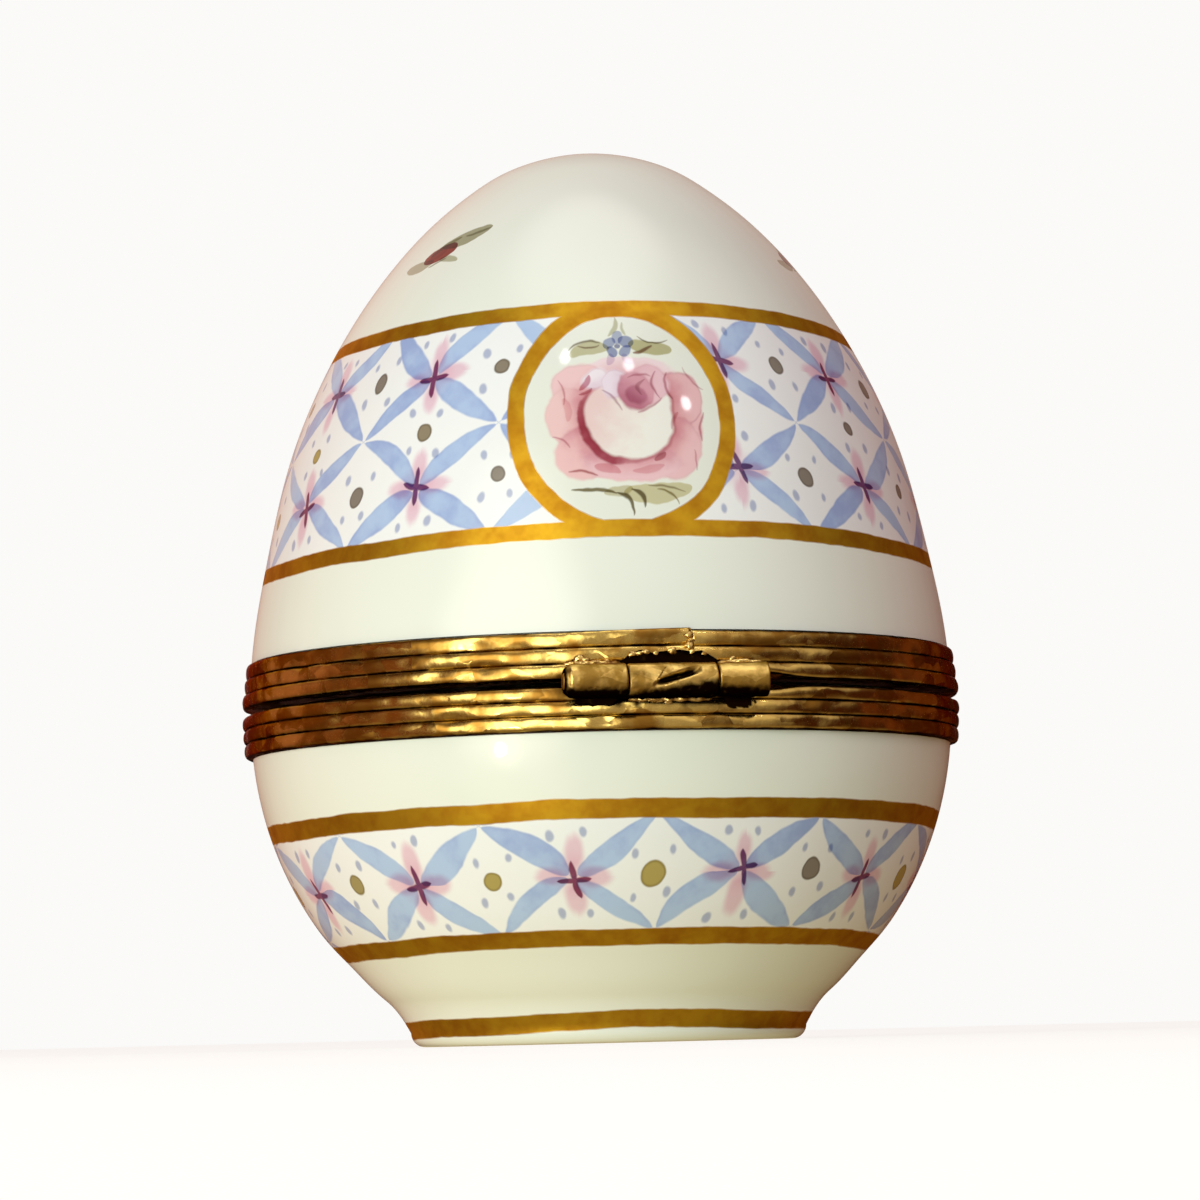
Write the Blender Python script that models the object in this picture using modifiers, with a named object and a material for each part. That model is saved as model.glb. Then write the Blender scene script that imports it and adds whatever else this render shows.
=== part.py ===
# A porcelain box in the shape of an egg. The egg is cut across its widest level.
# Each rim wears a reeded brass mount, and the two mounts are joined by a hinge.
# The hinge side faces -Y and the clasp side +Y. Z is up, and z = 0 is the underside of the foot.

import math

import bpy

MM = 0.001

# Egg outline
EGG_HEIGHT = 63.9 * MM
EGG_RADIUS = 25.15 * MM  # porcelain at its widest level, which is the seam
SEAM_HEIGHT = 23.9 * MM
CROWN_TAPER = 0.095  # how much slimmer than an ellipse the crown is
BOWL_DEPTH = 26.2 * MM  # from the seam to where the lower curve would close
BOWL_FULLNESS = 2.1  # 2 is an ellipse, more is squarer

# Porcelain walls and foot
WALL = 2.5 * MM
FLOOR_THICKNESS = 2.6 * MM
FOOT_HEIGHT = 2.7 * MM
FOOT_RADIUS = 14.1 * MM
FOOT_ROUNDING = 1.0 * MM
RECESS_RADIUS = 11.0 * MM
RECESS_DEPTH = 0.6 * MM

# Brass mounts
SEAM_GAP = 0.4 * MM
MOUNT_HEIGHT = 3.2 * MM
MOUNT_PROUD = 0.55 * MM  # crest of the reeds beyond the porcelain
MOUNT_THICKNESS = 1.5 * MM  # from the crest to the face against the porcelain
MOUNT_TAPER = 0.2 * MM  # the reed furthest from the seam is this much smaller in radius
REEDS = 3
REED_DEPTH = 0.35 * MM
FLANGE_THICKNESS = 0.5 * MM
CEMENT_GAP = 0.1 * MM

# Hinge, with lengths along X
KNUCKLE_RADIUS = 1.2 * MM
LEFT_KNUCKLE_LENGTH = 4.2 * MM
MIDDLE_KNUCKLE_LENGTH = 6.0 * MM
RIGHT_KNUCKLE_LENGTH = 3.4 * MM
KNUCKLE_CHAMFER = 0.12 * MM
KNUCKLE_SIDE_GAP = 0.1 * MM
HINGE_OUTSET = 0.3 * MM  # hinge axis beyond the crest of the reeds
PIN_RADIUS = 0.55 * MM
PIN_CLEARANCE = 0.07 * MM
PIN_PROUD = 0.12 * MM
SOLDER_GAP = 0.06 * MM
CAVITY_HEIGHT = 0.65 * MM  # free space past a knuckle that turns in the other mount
CAVITY_CLEARANCE = 0.15 * MM

# Clasp
THUMBPIECE_WIDTH = 5.2 * MM
THUMBPIECE_HEIGHT = 5.6 * MM
THUMBPIECE_THICKNESS = 0.8 * MM
THUMBPIECE_RISE = 0.25 * MM  # centre of the thumbpiece above the seam
THUMBPIECE_STANDOFF = 0.7 * MM
THUMBPIECE_BEVEL = 0.25 * MM
SOLE_WIDTH = 3.2 * MM
SOLE_HEIGHT = 1.5 * MM
SOLE_RISE = 1.55 * MM
CATCH_WIDTH = 3.0 * MM
CATCH_HEIGHT = 0.8 * MM
CATCH_PROUD = 0.45 * MM
CATCH_DROP = 1.4 * MM  # centre of the catch below the seam
CATCH_BEVEL = 0.18 * MM

# How finely the round shapes are faceted
TURN_STEPS = 56
TUBE_STEPS = 20
REED_SEGMENTS = 3
CROWN_SEGMENTS = 11
CAVITY_SEGMENTS = 8
BOWL_SEGMENTS = 7
FILLET_SEGMENTS = 3

MERGE = 1e-6
SMOOTH_ANGLE = math.radians(32)

# Worked out from the sizes above
CREST_RADIUS = EGG_RADIUS + MOUNT_PROUD
MOUNT_INSIDE = CREST_RADIUS - MOUNT_THICKNESS
REBATE_RADIUS = MOUNT_INSIDE - CEMENT_GAP
CAVITY_RADIUS = EGG_RADIUS - WALL
LID_RIM = SEAM_HEIGHT + SEAM_GAP / 2
BASE_RIM = SEAM_HEIGHT - SEAM_GAP / 2
FLOOR_TOP = RECESS_DEPTH + FLOOR_THICKNESS
HINGE_Y = -(CREST_RADIUS + HINGE_OUTSET)
NOTCH_RADIUS = KNUCKLE_RADIUS + SOLDER_GAP
BARREL_LENGTH = (
    LEFT_KNUCKLE_LENGTH + MIDDLE_KNUCKLE_LENGTH + RIGHT_KNUCKLE_LENGTH + 2 * KNUCKLE_SIDE_GAP
)

PORCELAIN = ("porcelain", (0.90, 0.89, 0.83), 0.08, 0.0)
BRASS = ("brass", (0.62, 0.43, 0.12), 0.3, 1.0)


def crown_point(angle, radius, top):
    """A point of the upper curve. At angle 0 it is at the seam, and at a right angle on the axis."""
    rise = math.sin(angle)
    r = radius * math.cos(angle) * (1 - CROWN_TAPER * rise * rise)
    return r, SEAM_HEIGHT + (top - SEAM_HEIGHT) * rise


def crown_angle(z, top):
    return math.asin((z - SEAM_HEIGHT) / (top - SEAM_HEIGHT))


def bowl_point(angle, radius, depth):
    """A point of the lower curve. At angle 0 it is at the seam."""
    drop = math.sin(angle) ** (2 / BOWL_FULLNESS)
    return radius * math.cos(angle), SEAM_HEIGHT - depth * drop


def bowl_angle(z, depth):
    return math.asin(((SEAM_HEIGHT - z) / depth) ** (BOWL_FULLNESS / 2))


def steps(start, end, count):
    return [start + (end - start) * i / count for i in range(count + 1)]


def lid_profile():
    """The dome, from its crown down the outside, round the rim and up the inside."""
    shoulder = LID_RIM + MOUNT_HEIGHT + CEMENT_GAP
    inner_top = EGG_HEIGHT - WALL
    rim = LID_RIM + FLANGE_THICKNESS + CEMENT_GAP
    outside = [
        crown_point(a, EGG_RADIUS, EGG_HEIGHT)
        for a in steps(math.pi / 2, crown_angle(shoulder, EGG_HEIGHT), CROWN_SEGMENTS)
    ]
    inside = [
        crown_point(a, CAVITY_RADIUS, inner_top)
        for a in steps(crown_angle(rim, inner_top), math.pi / 2, CAVITY_SEGMENTS)
    ]
    outside[0] = (0, EGG_HEIGHT)
    inside[-1] = (0, inner_top)
    return outside + [(REBATE_RADIUS, shoulder), (REBATE_RADIUS, rim)] + inside


def foot_profile():
    """The foot, from its waist down the outside and in to the recess underneath."""
    turned = [
        (
            FOOT_RADIUS - FOOT_ROUNDING * (1 - math.cos(a)),
            FOOT_ROUNDING * (1 - math.sin(a)),
        )
        for a in steps(0, math.pi / 2, FILLET_SEGMENTS)
    ]
    recess = [
        (RECESS_RADIUS + RECESS_DEPTH, 0),
        (RECESS_RADIUS, RECESS_DEPTH),
        (0, RECESS_DEPTH),
    ]
    return turned + recess


def base_profile():
    """The bowl, from its floor out and up the inside, round the rim, down the outside and under the foot."""
    shoulder = BASE_RIM - MOUNT_HEIGHT - CEMENT_GAP
    rim = BASE_RIM - FLANGE_THICKNESS - CEMENT_GAP
    inner_depth = BOWL_DEPTH - WALL
    inside = [
        bowl_point(a, CAVITY_RADIUS, inner_depth)
        for a in steps(bowl_angle(FLOOR_TOP, inner_depth), bowl_angle(rim, inner_depth), BOWL_SEGMENTS)
    ]
    outside = [
        bowl_point(a, EGG_RADIUS, BOWL_DEPTH)
        for a in steps(bowl_angle(shoulder, BOWL_DEPTH), bowl_angle(FOOT_HEIGHT, BOWL_DEPTH), BOWL_SEGMENTS)
    ]
    rebate = [(REBATE_RADIUS, rim), (REBATE_RADIUS, shoulder)]
    return [(0, FLOOR_TOP)] + inside + rebate + outside + foot_profile()


def reeded_face():
    """The three reeds as (radius, distance from the mount's rim), from the far edge to the rim."""
    pitch = MOUNT_HEIGHT / REEDS
    points = []
    for reed in range(REEDS):
        crest = CREST_RADIUS - MOUNT_TAPER * (REEDS - 1 - reed) / (REEDS - 1)
        far_edge = MOUNT_HEIGHT - reed * pitch
        for a in steps(0, math.pi, REED_SEGMENTS):
            points.append(
                (crest - REED_DEPTH * (1 - math.sin(a)), far_edge - pitch * (1 - math.cos(a)) / 2)
            )
        if reed < REEDS - 1:
            points.pop()
    return points


def mount_profile(rim, up):
    """A closed section: reeded band outside, and a flange that covers the porcelain's edge. up is 1 or -1."""
    section = reeded_face() + [
        (CAVITY_RADIUS, 0),
        (CAVITY_RADIUS, FLANGE_THICKNESS),
        (MOUNT_INSIDE, FLANGE_THICKNESS),
        (MOUNT_INSIDE, MOUNT_HEIGHT),
    ]
    outline = [(r, rim + up * height) for r, height in section]
    return outline if up > 0 else outline[::-1]


def tube_profile(length):
    """A closed section of a tube along Z with eased outer edges."""
    half = length / 2
    bore = PIN_RADIUS + PIN_CLEARANCE
    return [
        (KNUCKLE_RADIUS - KNUCKLE_CHAMFER, half),
        (KNUCKLE_RADIUS, half - KNUCKLE_CHAMFER),
        (KNUCKLE_RADIUS, -half + KNUCKLE_CHAMFER),
        (KNUCKLE_RADIUS - KNUCKLE_CHAMFER, -half),
        (bore, -half),
        (bore, half),
    ]


def pin_profile(length):
    half = length / 2
    ease = PIN_RADIUS / 3
    return [
        (0, half),
        (PIN_RADIUS - ease, half),
        (PIN_RADIUS, half - ease / 2),
        (PIN_RADIUS, -half + ease / 2),
        (PIN_RADIUS - ease, -half),
        (0, -half),
    ]


def collection_named(name):
    made = bpy.data.collections.new(name)
    bpy.context.scene.collection.children.link(made)
    return made


def material_of(look):
    """A Principled material from a name, a colour, a roughness and a metallic value."""
    name, colour, roughness, metallic = look
    made = bpy.data.materials.get(name)
    if made is None:
        made = bpy.data.materials.new(name)
        made.use_nodes = True
        shader = made.node_tree.nodes["Principled BSDF"]
        shader.inputs["Base Color"].default_value = (*colour, 1)
        shader.inputs["Roughness"].default_value = roughness
        shader.inputs["Metallic"].default_value = metallic
    return made


def placed(obj, name, collection):
    """Names an object, and moves it to its collection."""
    obj.name = name
    obj.data.name = name
    for old in list(obj.users_collection):
        old.objects.unlink(obj)
    collection.objects.link(obj)
    return obj


def turned(name, profile, closed, turn_steps, collection):
    """A profile in the XZ plane, turned about Z with a Screw modifier."""
    mesh = bpy.data.meshes.new(name)
    count = len(profile)
    links = [(i, i + 1) for i in range(count - 1)] + ([(count - 1, 0)] if closed else [])
    mesh.from_pydata([(r, 0, z) for r, z in profile], links, [])
    obj = bpy.data.objects.new(name, mesh)
    collection.objects.link(obj)
    screw = obj.modifiers.new("turn", "SCREW")
    screw.axis = "Z"
    screw.steps = turn_steps
    screw.render_steps = turn_steps
    screw.use_merge_vertices = True
    screw.merge_threshold = MERGE
    return obj


def box(name, low, high, collection):
    """A cube primitive that runs from one corner to the other, with its scale in its mesh."""
    bpy.ops.mesh.primitive_cube_add(size=1, location=[(a + b) / 2 for a, b in zip(low, high)])
    obj = placed(bpy.context.object, name, collection)
    for vertex in obj.data.vertices:
        for axis in range(3):
            vertex.co[axis] *= high[axis] - low[axis]
    return obj


def bevelled(obj, width, segments):
    bevel = obj.modifiers.new("eased edges", "BEVEL")
    bevel.width = width
    bevel.segments = segments
    bevel.limit_method = "ANGLE"
    return obj


def boolean(obj, other, operation):
    step = obj.modifiers.new(other.name, "BOOLEAN")
    step.operation = operation
    step.object = other
    return obj


def as_guide(obj):
    """A cutter, or a shape that was joined into another: drawn as wire and left out of the part."""
    obj.hide_render = True
    obj.display_type = "WIRE"
    return obj


def finished(obj, look):
    """Gives the object its evaluated mesh, smooth where it is round, and its material."""
    graph = bpy.context.evaluated_depsgraph_get()
    mesh = bpy.data.meshes.new_from_object(obj.evaluated_get(graph))
    obj.modifiers.clear()
    obj.data = mesh
    mesh.name = obj.name
    mesh.materials.clear()
    mesh.materials.append(material_of(look))
    mesh.shade_smooth()
    mesh.set_sharp_from_angle(angle=SMOOTH_ANGLE)
    return obj


def knuckle_spans():
    """Each knuckle's name with its low and high end along X. The barrel is centred on the hinge side."""
    spans = {}
    start = -BARREL_LENGTH / 2
    for name, length in (
        ("left", LEFT_KNUCKLE_LENGTH),
        ("middle", MIDDLE_KNUCKLE_LENGTH),
        ("right", RIGHT_KNUCKLE_LENGTH),
    ):
        spans[name] = (start, start + length)
        start += length + KNUCKLE_SIDE_GAP
    return spans


def along_hinge(obj, centre_x):
    """Lays a shape that was turned about Z on the hinge axis."""
    obj.rotation_euler = (0, math.pi / 2, 0)
    obj.location = (centre_x, HINGE_Y, SEAM_HEIGHT)
    return obj


def seat_cutter(name, collection):
    """The round seat, as long as the barrel, that the soldered knuckles lie in."""
    half = BARREL_LENGTH / 2 + KNUCKLE_SIDE_GAP
    profile = [(0, half), (NOTCH_RADIUS, half), (NOTCH_RADIUS, -half), (0, -half)]
    return as_guide(along_hinge(turned(name, profile, False, TUBE_STEPS, collection), 0))


def cavity_cutter(name, span, up, collection):
    """The square recess in the other mount, in which the knuckle turns freely. up is 1 or -1."""
    low, high = span
    reach = KNUCKLE_RADIUS + CAVITY_HEIGHT
    back = HINGE_Y + KNUCKLE_RADIUS + CAVITY_CLEARANCE
    front = HINGE_Y - reach
    far = SEAM_HEIGHT + up * reach
    near = SEAM_HEIGHT - up * SEAM_GAP / 2
    side = KNUCKLE_SIDE_GAP / 2
    corners = sorted((near, far))
    return as_guide(
        box(name, (low - side, front, corners[0]), (high + side, back, corners[1]), collection)
    )


def make_mount(name, rim, up, cavities, parts, cutters):
    """One reeded ring with its flange, cut away for the hinge."""
    mount = turned(name, mount_profile(rim, up), True, TURN_STEPS, parts)
    spans = knuckle_spans()
    boolean(mount, seat_cutter(f"{name}_seat", cutters), "DIFFERENCE")
    for side in cavities:
        cutter = cavity_cutter(f"{name}_cavity_{side}", spans[side], up, cutters)
        boolean(mount, cutter, "DIFFERENCE")
    return mount


def make_knuckle(name, span, parts):
    low, high = span
    tube = turned(name, tube_profile(high - low), True, TUBE_STEPS, parts)
    return along_hinge(tube, (low + high) / 2)


def make_pin(parts):
    length = BARREL_LENGTH + 2 * PIN_PROUD
    return along_hinge(turned("hinge_pin", pin_profile(length), False, TUBE_STEPS, parts), 0)


def make_thumbpiece(parts, cutters):
    """An oval plate in front of the seam, held off the lid's mount by a small sole."""
    back = CREST_RADIUS + THUMBPIECE_STANDOFF
    bpy.ops.mesh.primitive_cylinder_add(vertices=24, radius=0.5, depth=1)
    plate = placed(bpy.context.object, "clasp_thumbpiece", parts)
    for vertex in plate.data.vertices:
        x, y, z = vertex.co
        vertex.co = (x * THUMBPIECE_WIDTH, z * THUMBPIECE_THICKNESS, -y * THUMBPIECE_HEIGHT)
    plate.location = (0, back + THUMBPIECE_THICKNESS / 2, SEAM_HEIGHT + THUMBPIECE_RISE)
    bevelled(plate, THUMBPIECE_BEVEL, 2)
    sole = box(
        "thumbpiece_sole",
        (-SOLE_WIDTH / 2, CREST_RADIUS + SOLDER_GAP, SEAM_HEIGHT + SOLE_RISE - SOLE_HEIGHT / 2),
        (SOLE_WIDTH / 2, back + THUMBPIECE_THICKNESS / 2, SEAM_HEIGHT + SOLE_RISE + SOLE_HEIGHT / 2),
        cutters,
    )
    return boolean(plate, as_guide(sole), "UNION")


def make_catch(parts):
    """The small bar on the base's mount that the thumbpiece springs over."""
    centre = SEAM_HEIGHT - CATCH_DROP
    back = CREST_RADIUS + SOLDER_GAP
    bar = box(
        "clasp_catch",
        (-CATCH_WIDTH / 2, back, centre - CATCH_HEIGHT / 2),
        (CATCH_WIDTH / 2, back + CATCH_PROUD, centre + CATCH_HEIGHT / 2),
        parts,
    )
    return bevelled(bar, CATCH_BEVEL, 2)


def main():
    for obj in list(bpy.data.objects):
        bpy.data.objects.remove(obj)
    parts = collection_named("porcelain_egg_box")
    cutters = collection_named("cutters")
    spans = knuckle_spans()

    made = [
        (turned("base_porcelain", base_profile(), False, TURN_STEPS, parts), PORCELAIN),
        (turned("lid_porcelain", lid_profile(), False, TURN_STEPS, parts), PORCELAIN),
        (make_mount("base_mount", BASE_RIM, -1, ["left", "right"], parts, cutters), BRASS),
        (make_mount("lid_mount", LID_RIM, 1, ["middle"], parts, cutters), BRASS),
        (make_knuckle("hinge_knuckle_left", spans["left"], parts), BRASS),
        (make_knuckle("hinge_knuckle_middle", spans["middle"], parts), BRASS),
        (make_knuckle("hinge_knuckle_right", spans["right"], parts), BRASS),
        (make_pin(parts), BRASS),
        (make_thumbpiece(parts, cutters), BRASS),
        (make_catch(parts), BRASS),
    ]
    bpy.context.view_layer.update()
    for obj, look in made:
        finished(obj, look)


main()
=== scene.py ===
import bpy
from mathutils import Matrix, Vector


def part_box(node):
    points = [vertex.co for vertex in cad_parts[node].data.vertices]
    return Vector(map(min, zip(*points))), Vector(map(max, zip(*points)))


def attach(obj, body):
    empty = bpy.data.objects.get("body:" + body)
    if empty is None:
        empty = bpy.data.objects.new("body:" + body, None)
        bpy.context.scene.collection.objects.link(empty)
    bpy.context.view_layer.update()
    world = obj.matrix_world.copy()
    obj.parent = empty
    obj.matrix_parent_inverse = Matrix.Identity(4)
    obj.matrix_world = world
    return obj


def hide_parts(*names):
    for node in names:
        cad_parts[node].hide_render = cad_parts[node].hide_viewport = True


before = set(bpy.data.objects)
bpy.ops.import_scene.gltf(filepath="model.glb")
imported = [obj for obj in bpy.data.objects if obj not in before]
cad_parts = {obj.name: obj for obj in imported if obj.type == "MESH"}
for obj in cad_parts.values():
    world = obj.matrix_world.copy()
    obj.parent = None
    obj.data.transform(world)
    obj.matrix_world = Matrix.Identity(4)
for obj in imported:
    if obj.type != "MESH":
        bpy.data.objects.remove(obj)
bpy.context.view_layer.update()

import ast
import math
import random

import bmesh
import bpy
from mathutils import Matrix, Vector, noise

mm = 0.001


def boxMm(node):
    low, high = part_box(node)
    return low / mm, high / mm


lidHigh = boxMm("lid_porcelain")[1]
lidMountLow, lidMountHigh = boxMm("lid_mount")
baseMountLow, baseMountHigh = boxMm("base_mount")
leftLow, leftHigh = boxMm("hinge_knuckle_left")
middleLow, middleHigh = boxMm("hinge_knuckle_middle")
rightLow, rightHigh = boxMm("hinge_knuckle_right")
pinLow, pinHigh = boxMm("hinge_pin")
thumbLow, thumbHigh = boxMm("clasp_thumbpiece")
catchLow, catchHigh = boxMm("clasp_catch")

egg = {  # all lengths are in mm
    "top": lidHigh.z,
    "seam": (lidMountLow.z + baseMountHigh.z) / 2,
    "radius": lidMountHigh.x - 0.55,  # the reeds stand 0.55 proud of the porcelain
    "crownTaper": 0.095,
    "bowlDepth": 26.2,
    "bowlFullness": 2.1,
    "wall": 2.5,
    "floorTop": 3.2,
    "footHeight": 2.7,
    "footRadius": 14.1,
    "footRounding": 1.0,
    "footTop": 1.45,  # where the foot starts to turn in to the waist
    "waist": 0.7,  # above the foot's height, where the bowl starts to turn out
    "cornerRise": 1.6,  # the rounding between floor and wall
    "cornerReach": 2.4,
    "recessRadius": 11.0,
    "recessDepth": 0.6,
    "rebateRadius": 24.1,
    "rimStep": 0.6,  # the mount's flange and its cement, above the porcelain's edge
    "edgeGap": 0.1,
    "lowTrim": 0.25,  # the lower mount looks this much narrower in the photo than in CAD
    "steps": 288,
}
hingeY = (leftLow.y + leftHigh.y) / 2
seamZ = egg["seam"]


# Colours are written as sRGB hex and turned to linear here
def paint(code):
    parts = [int(code[i : i + 2], 16) / 255 for i in (1, 3, 5)]
    return tuple(p / 12.92 if p <= 0.04045 else ((p + 0.055) / 1.055) ** 2.4 for p in parts) + (1.0,)


# Sets a node up. Each key is a property or an input, and each value a number or the socket that feeds it
def setNode(tree, node, given):
    for key, value in given.items():
        if isinstance(key, str) and hasattr(node, key):
            setattr(node, key, value)
        elif isinstance(value, bpy.types.NodeSocket):
            tree.links.new(value, node.inputs[key])
        else:
            node.inputs[key].default_value = value
    return node


def addNode(tree, kind, given=None):
    return setNode(tree, tree.nodes.new(kind), given or {})


mathWords = {
    ast.Add: "ADD", ast.Sub: "SUBTRACT", ast.Mult: "MULTIPLY", ast.Div: "DIVIDE", ast.Mod: "FLOORED_MODULO",
    ast.Pow: "POWER", "abs": "ABSOLUTE", "sqrt": "SQRT", "sin": "SINE", "atan2": "ARCTAN2", "round": "ROUND",
    "min": "MINIMUM", "max": "MAXIMUM", "above": "GREATER_THAN", "wrap": "WRAP",
}
blend = {"data_type": "RGBA"}  # a Mix node for colours: 0 is its factor, 6 and 7 its colours


# Turns lines of arithmetic into Math nodes. Names stand for the sockets and numbers in wires, and what a line
# names joins them. smooth(value, off, on) goes softly from 0 to 1 between two values. Returns the last result
def formula(tree, *lines, wires=None, **given):
    wires = given if wires is None else wires

    def part(piece):
        if isinstance(piece, ast.Constant):
            return piece.value
        if isinstance(piece, ast.Name):
            return wires[piece.id]
        if isinstance(piece, ast.UnaryOp):
            value = part(piece.operand)
            return -value if isinstance(value, (int, float)) else join("MULTIPLY", [value, -1.0])
        if isinstance(piece, ast.BinOp):
            return join(mathWords[type(piece.op)], [part(piece.left), part(piece.right)])
        if piece.func.id == "smooth":
            settings = {"interpolation_type": "SMOOTHSTEP"}
            settings.update(enumerate(part(p) for p in piece.args))
            return addNode(tree, "ShaderNodeMapRange", settings).outputs[0]
        return join(mathWords[piece.func.id], [part(p) for p in piece.args])

    def join(operation, values):
        settings = {"operation": operation}
        settings.update(enumerate(values))
        return addNode(tree, "ShaderNodeMath", settings).outputs[0]

    for line in ast.parse("\n".join(lines)).body:
        result = part(line.value)
        if isinstance(line, ast.Assign):
            wires[line.targets[0].id] = result
    return result


def newMaterial(name):
    made = bpy.data.materials.new(name)
    made.use_nodes = True
    return made, made.node_tree, made.node_tree.nodes["Principled BSDF"]


# A stroke of enamel tints what lies below it, as it does over white. depth is how far inside the stroke a
# point is, in mm
def brushOn(tree, below, depth, colour, strength=1.0, soft=0.07):
    mask = formula(tree, "smooth(depth, -soft, soft) * strength", depth=depth, soft=soft, strength=strength)
    given = {"blend_type": "MULTIPLY", 0: mask, 6: below, 7: colour}
    return addNode(tree, "ShaderNodeMix", blend | given).outputs[2]


# Adds three random numbers for each whole-number place to the wires, as name0 to name2
def chance(tree, wires, name, a, b, c):
    spot = addNode(tree, "ShaderNodeCombineXYZ", {0: wires[a], 1: wires[b], 2: c}).outputs[0]
    spot = {"noise_dimensions": "3D", "Vector": spot}
    colour = addNode(tree, "ShaderNodeTexWhiteNoise", spot).outputs["Color"]
    drawn = addNode(tree, "ShaderNodeSeparateColor", {0: colour}).outputs
    wires.update({name + str(i): number for i, number in enumerate(drawn)})


# A hand never holds its line: the place is swayed by noise of each length (mm) and amount (mm)
def handSway(tree, place, sways):
    moved = place
    for length, amount in sways:
        ripple = addNode(tree, "ShaderNodeTexNoise", {"Vector": place, "Scale": 1 / length, "Detail": 1.0})
        even = {"operation": "SUBTRACT", 0: ripple.outputs["Color"], 1: (0.5, 0.5, 0.5)}
        even = addNode(tree, "ShaderNodeVectorMath", even).outputs[0]
        push = {"operation": "MULTIPLY_ADD", 0: even, 1: (amount, amount, amount), 2: moved}
        moved = addNode(tree, "ShaderNodeVectorMath", push).outputs[0]
    return moved


# The place in mm, whatever the object's units
def placeInMm(tree):
    real = addNode(tree, "ShaderNodeTexCoord").outputs["Object"]
    return addNode(tree, "ShaderNodeVectorMath", {"operation": "SCALE", 0: real, "Scale": 1 / mm}).outputs[0]


# The turn about the egg (0 at the hinge, radians), the distance from its axis and the height (mm)
def polar(tree, place):
    x, y, z = addNode(tree, "ShaderNodeSeparateXYZ", {0: place}).outputs
    wires = {"x": x, "y": y, "z": z}
    # The painted rings dip a little at the sides, the upper ones more
    formula(tree, "turn = atan2(x, -y)", "radius = sqrt(x * x + y * y)",
            "z = z + (0.45 + 0.5 * smooth(z, 17, 33)) * (x / radius) ** 2", wires=wires)
    return wires["turn"], wires["radius"], wires["z"]


# One dab of the brush, as a group: lens-shaped, turned and bent, with depth in mm from its edge
def makeDab():
    group = bpy.data.node_groups.new("brushDab", "ShaderNodeTree")
    for name in ("X", "Y", "Centre X", "Centre Y", "Cosine", "Sine", "Half Length", "Half Width", "Bend"):
        group.interface.new_socket(name=name, in_out="INPUT", socket_type="NodeSocketFloat")
    group.interface.new_socket(name="Depth", in_out="OUTPUT", socket_type="NodeSocketFloat")
    names = ("x", "y", "cx", "cy", "c", "s", "long", "wide", "bend")
    wires = dict(zip(names, addNode(group, "NodeGroupInput").outputs))
    depth = formula(group, "dx = x - cx", "dy = y - cy", "along = (dx * c + dy * s) / long",
                    "q = along * along", "across = abs(dy * c - dx * s - bend * q)",
                    "wide * sqrt(max(1 - q, 0)) - across - max(q - 1, 0)", wires=wires)
    addNode(group, "NodeGroupOutput", {0: depth})
    return group


dabGroup = makeDab()


def dab(tree, x, y, centreX, centreY, degrees, halfLength, halfWidth, bend):
    turn = math.radians(degrees)
    given = {"node_tree": dabGroup, "X": x, "Y": y, "Centre X": centreX, "Centre Y": centreY,
             "Cosine": math.cos(turn), "Sine": math.sin(turn), "Half Length": halfLength,
             "Half Width": halfWidth, "Bend": bend}
    return addNode(tree, "ShaderNodeGroup", given).outputs[0]


# Hard-paste porcelain, slip-cast and dipped in clear glaze: a cool cream white with sharp reflections
glaze = {
    "white": "#EFF1E6",
    "shade": "#E9EDDD",
    "mottle": 14.0,  # mm
    "ripple": 5.0,  # mm, the slow waves of a dipped glaze
    "rippleDepth": 0.04,  # mm
    "roughness": 0.06,
    "ior": 1.52,
}

# Burnished gold, banded on by brush and fired: a soft satin ochre, a little thinner here and there
gilding = {
    "bright": "#D6AC2C",
    "thin": "#B8821E",
    "edge": "#D8782A",  # reddens at a low angle
    "roughness": 0.42,
    "metallic": 0.85,  # the brushed coat is thin, so some of its ochre body shows
    "mottle": 2.4,  # mm
    "lip": 0.07,  # mm over which its edge fades
}

enamel = {  # the painter's colours
    "ground": "#F5F5F2",
    "haze": "#F1F3F2",
    "blueLight": "#BCD2F4",
    "blueDeep": "#A6B8E6",
    "pink": "#EFBFD2",
    "plum": "#64347A",
    "plumWarm": "#84305E",
    "dotGrey": "#8E8378",
    "dotOlive": "#B8A45E",
    "dotRim": "#8C8070",
    "smallDot": "#B2BAD8",
}

upperBand = {  # a trellis of four half rows between two gold lines, all in mm
    "low": 34.5, "high": 49.7,
    "middleRow": 2.0, "middleHeight": 42.3, "rowHeight": 3.93, "shift": 0.46, "sway": 0.12,
    "dotRadius": 0.6, "edgeDotRise": 1.4, "goldDots": 0.25, "seed": 3.0, "petalWidth": 0.6,
}
lowerBand = {
    "low": 7.4, "high": 15.2,
    "middleRow": 1.0, "middleHeight": 11.3, "rowHeight": 3.6, "shift": 0.52, "sway": 0.035,
    "dotRadius": 0.75, "edgeDotRise": 0.85, "goldDots": 0.85, "seed": 11.0, "petalWidth": 0.66,
}
columns = 12  # shift and sway put the flowers where the hinge side shows them
trellisSway = [(6.0, 1.1), (1.1, 0.2)]  # length and amount in mm
goldSway = [(9.0, 0.4), (1.2, 0.12)]
brushStreak = 1.6  # mm

goldLines = {  # height of the middle and half the width, in mm
    "crown": (50.08, 0.55),
    "upper": (34.35, 0.58),
    "lower": (15.6, 0.65),
    "bowl": (7.12, 0.55),
    "foot": (1.6, 0.6),
}


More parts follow.
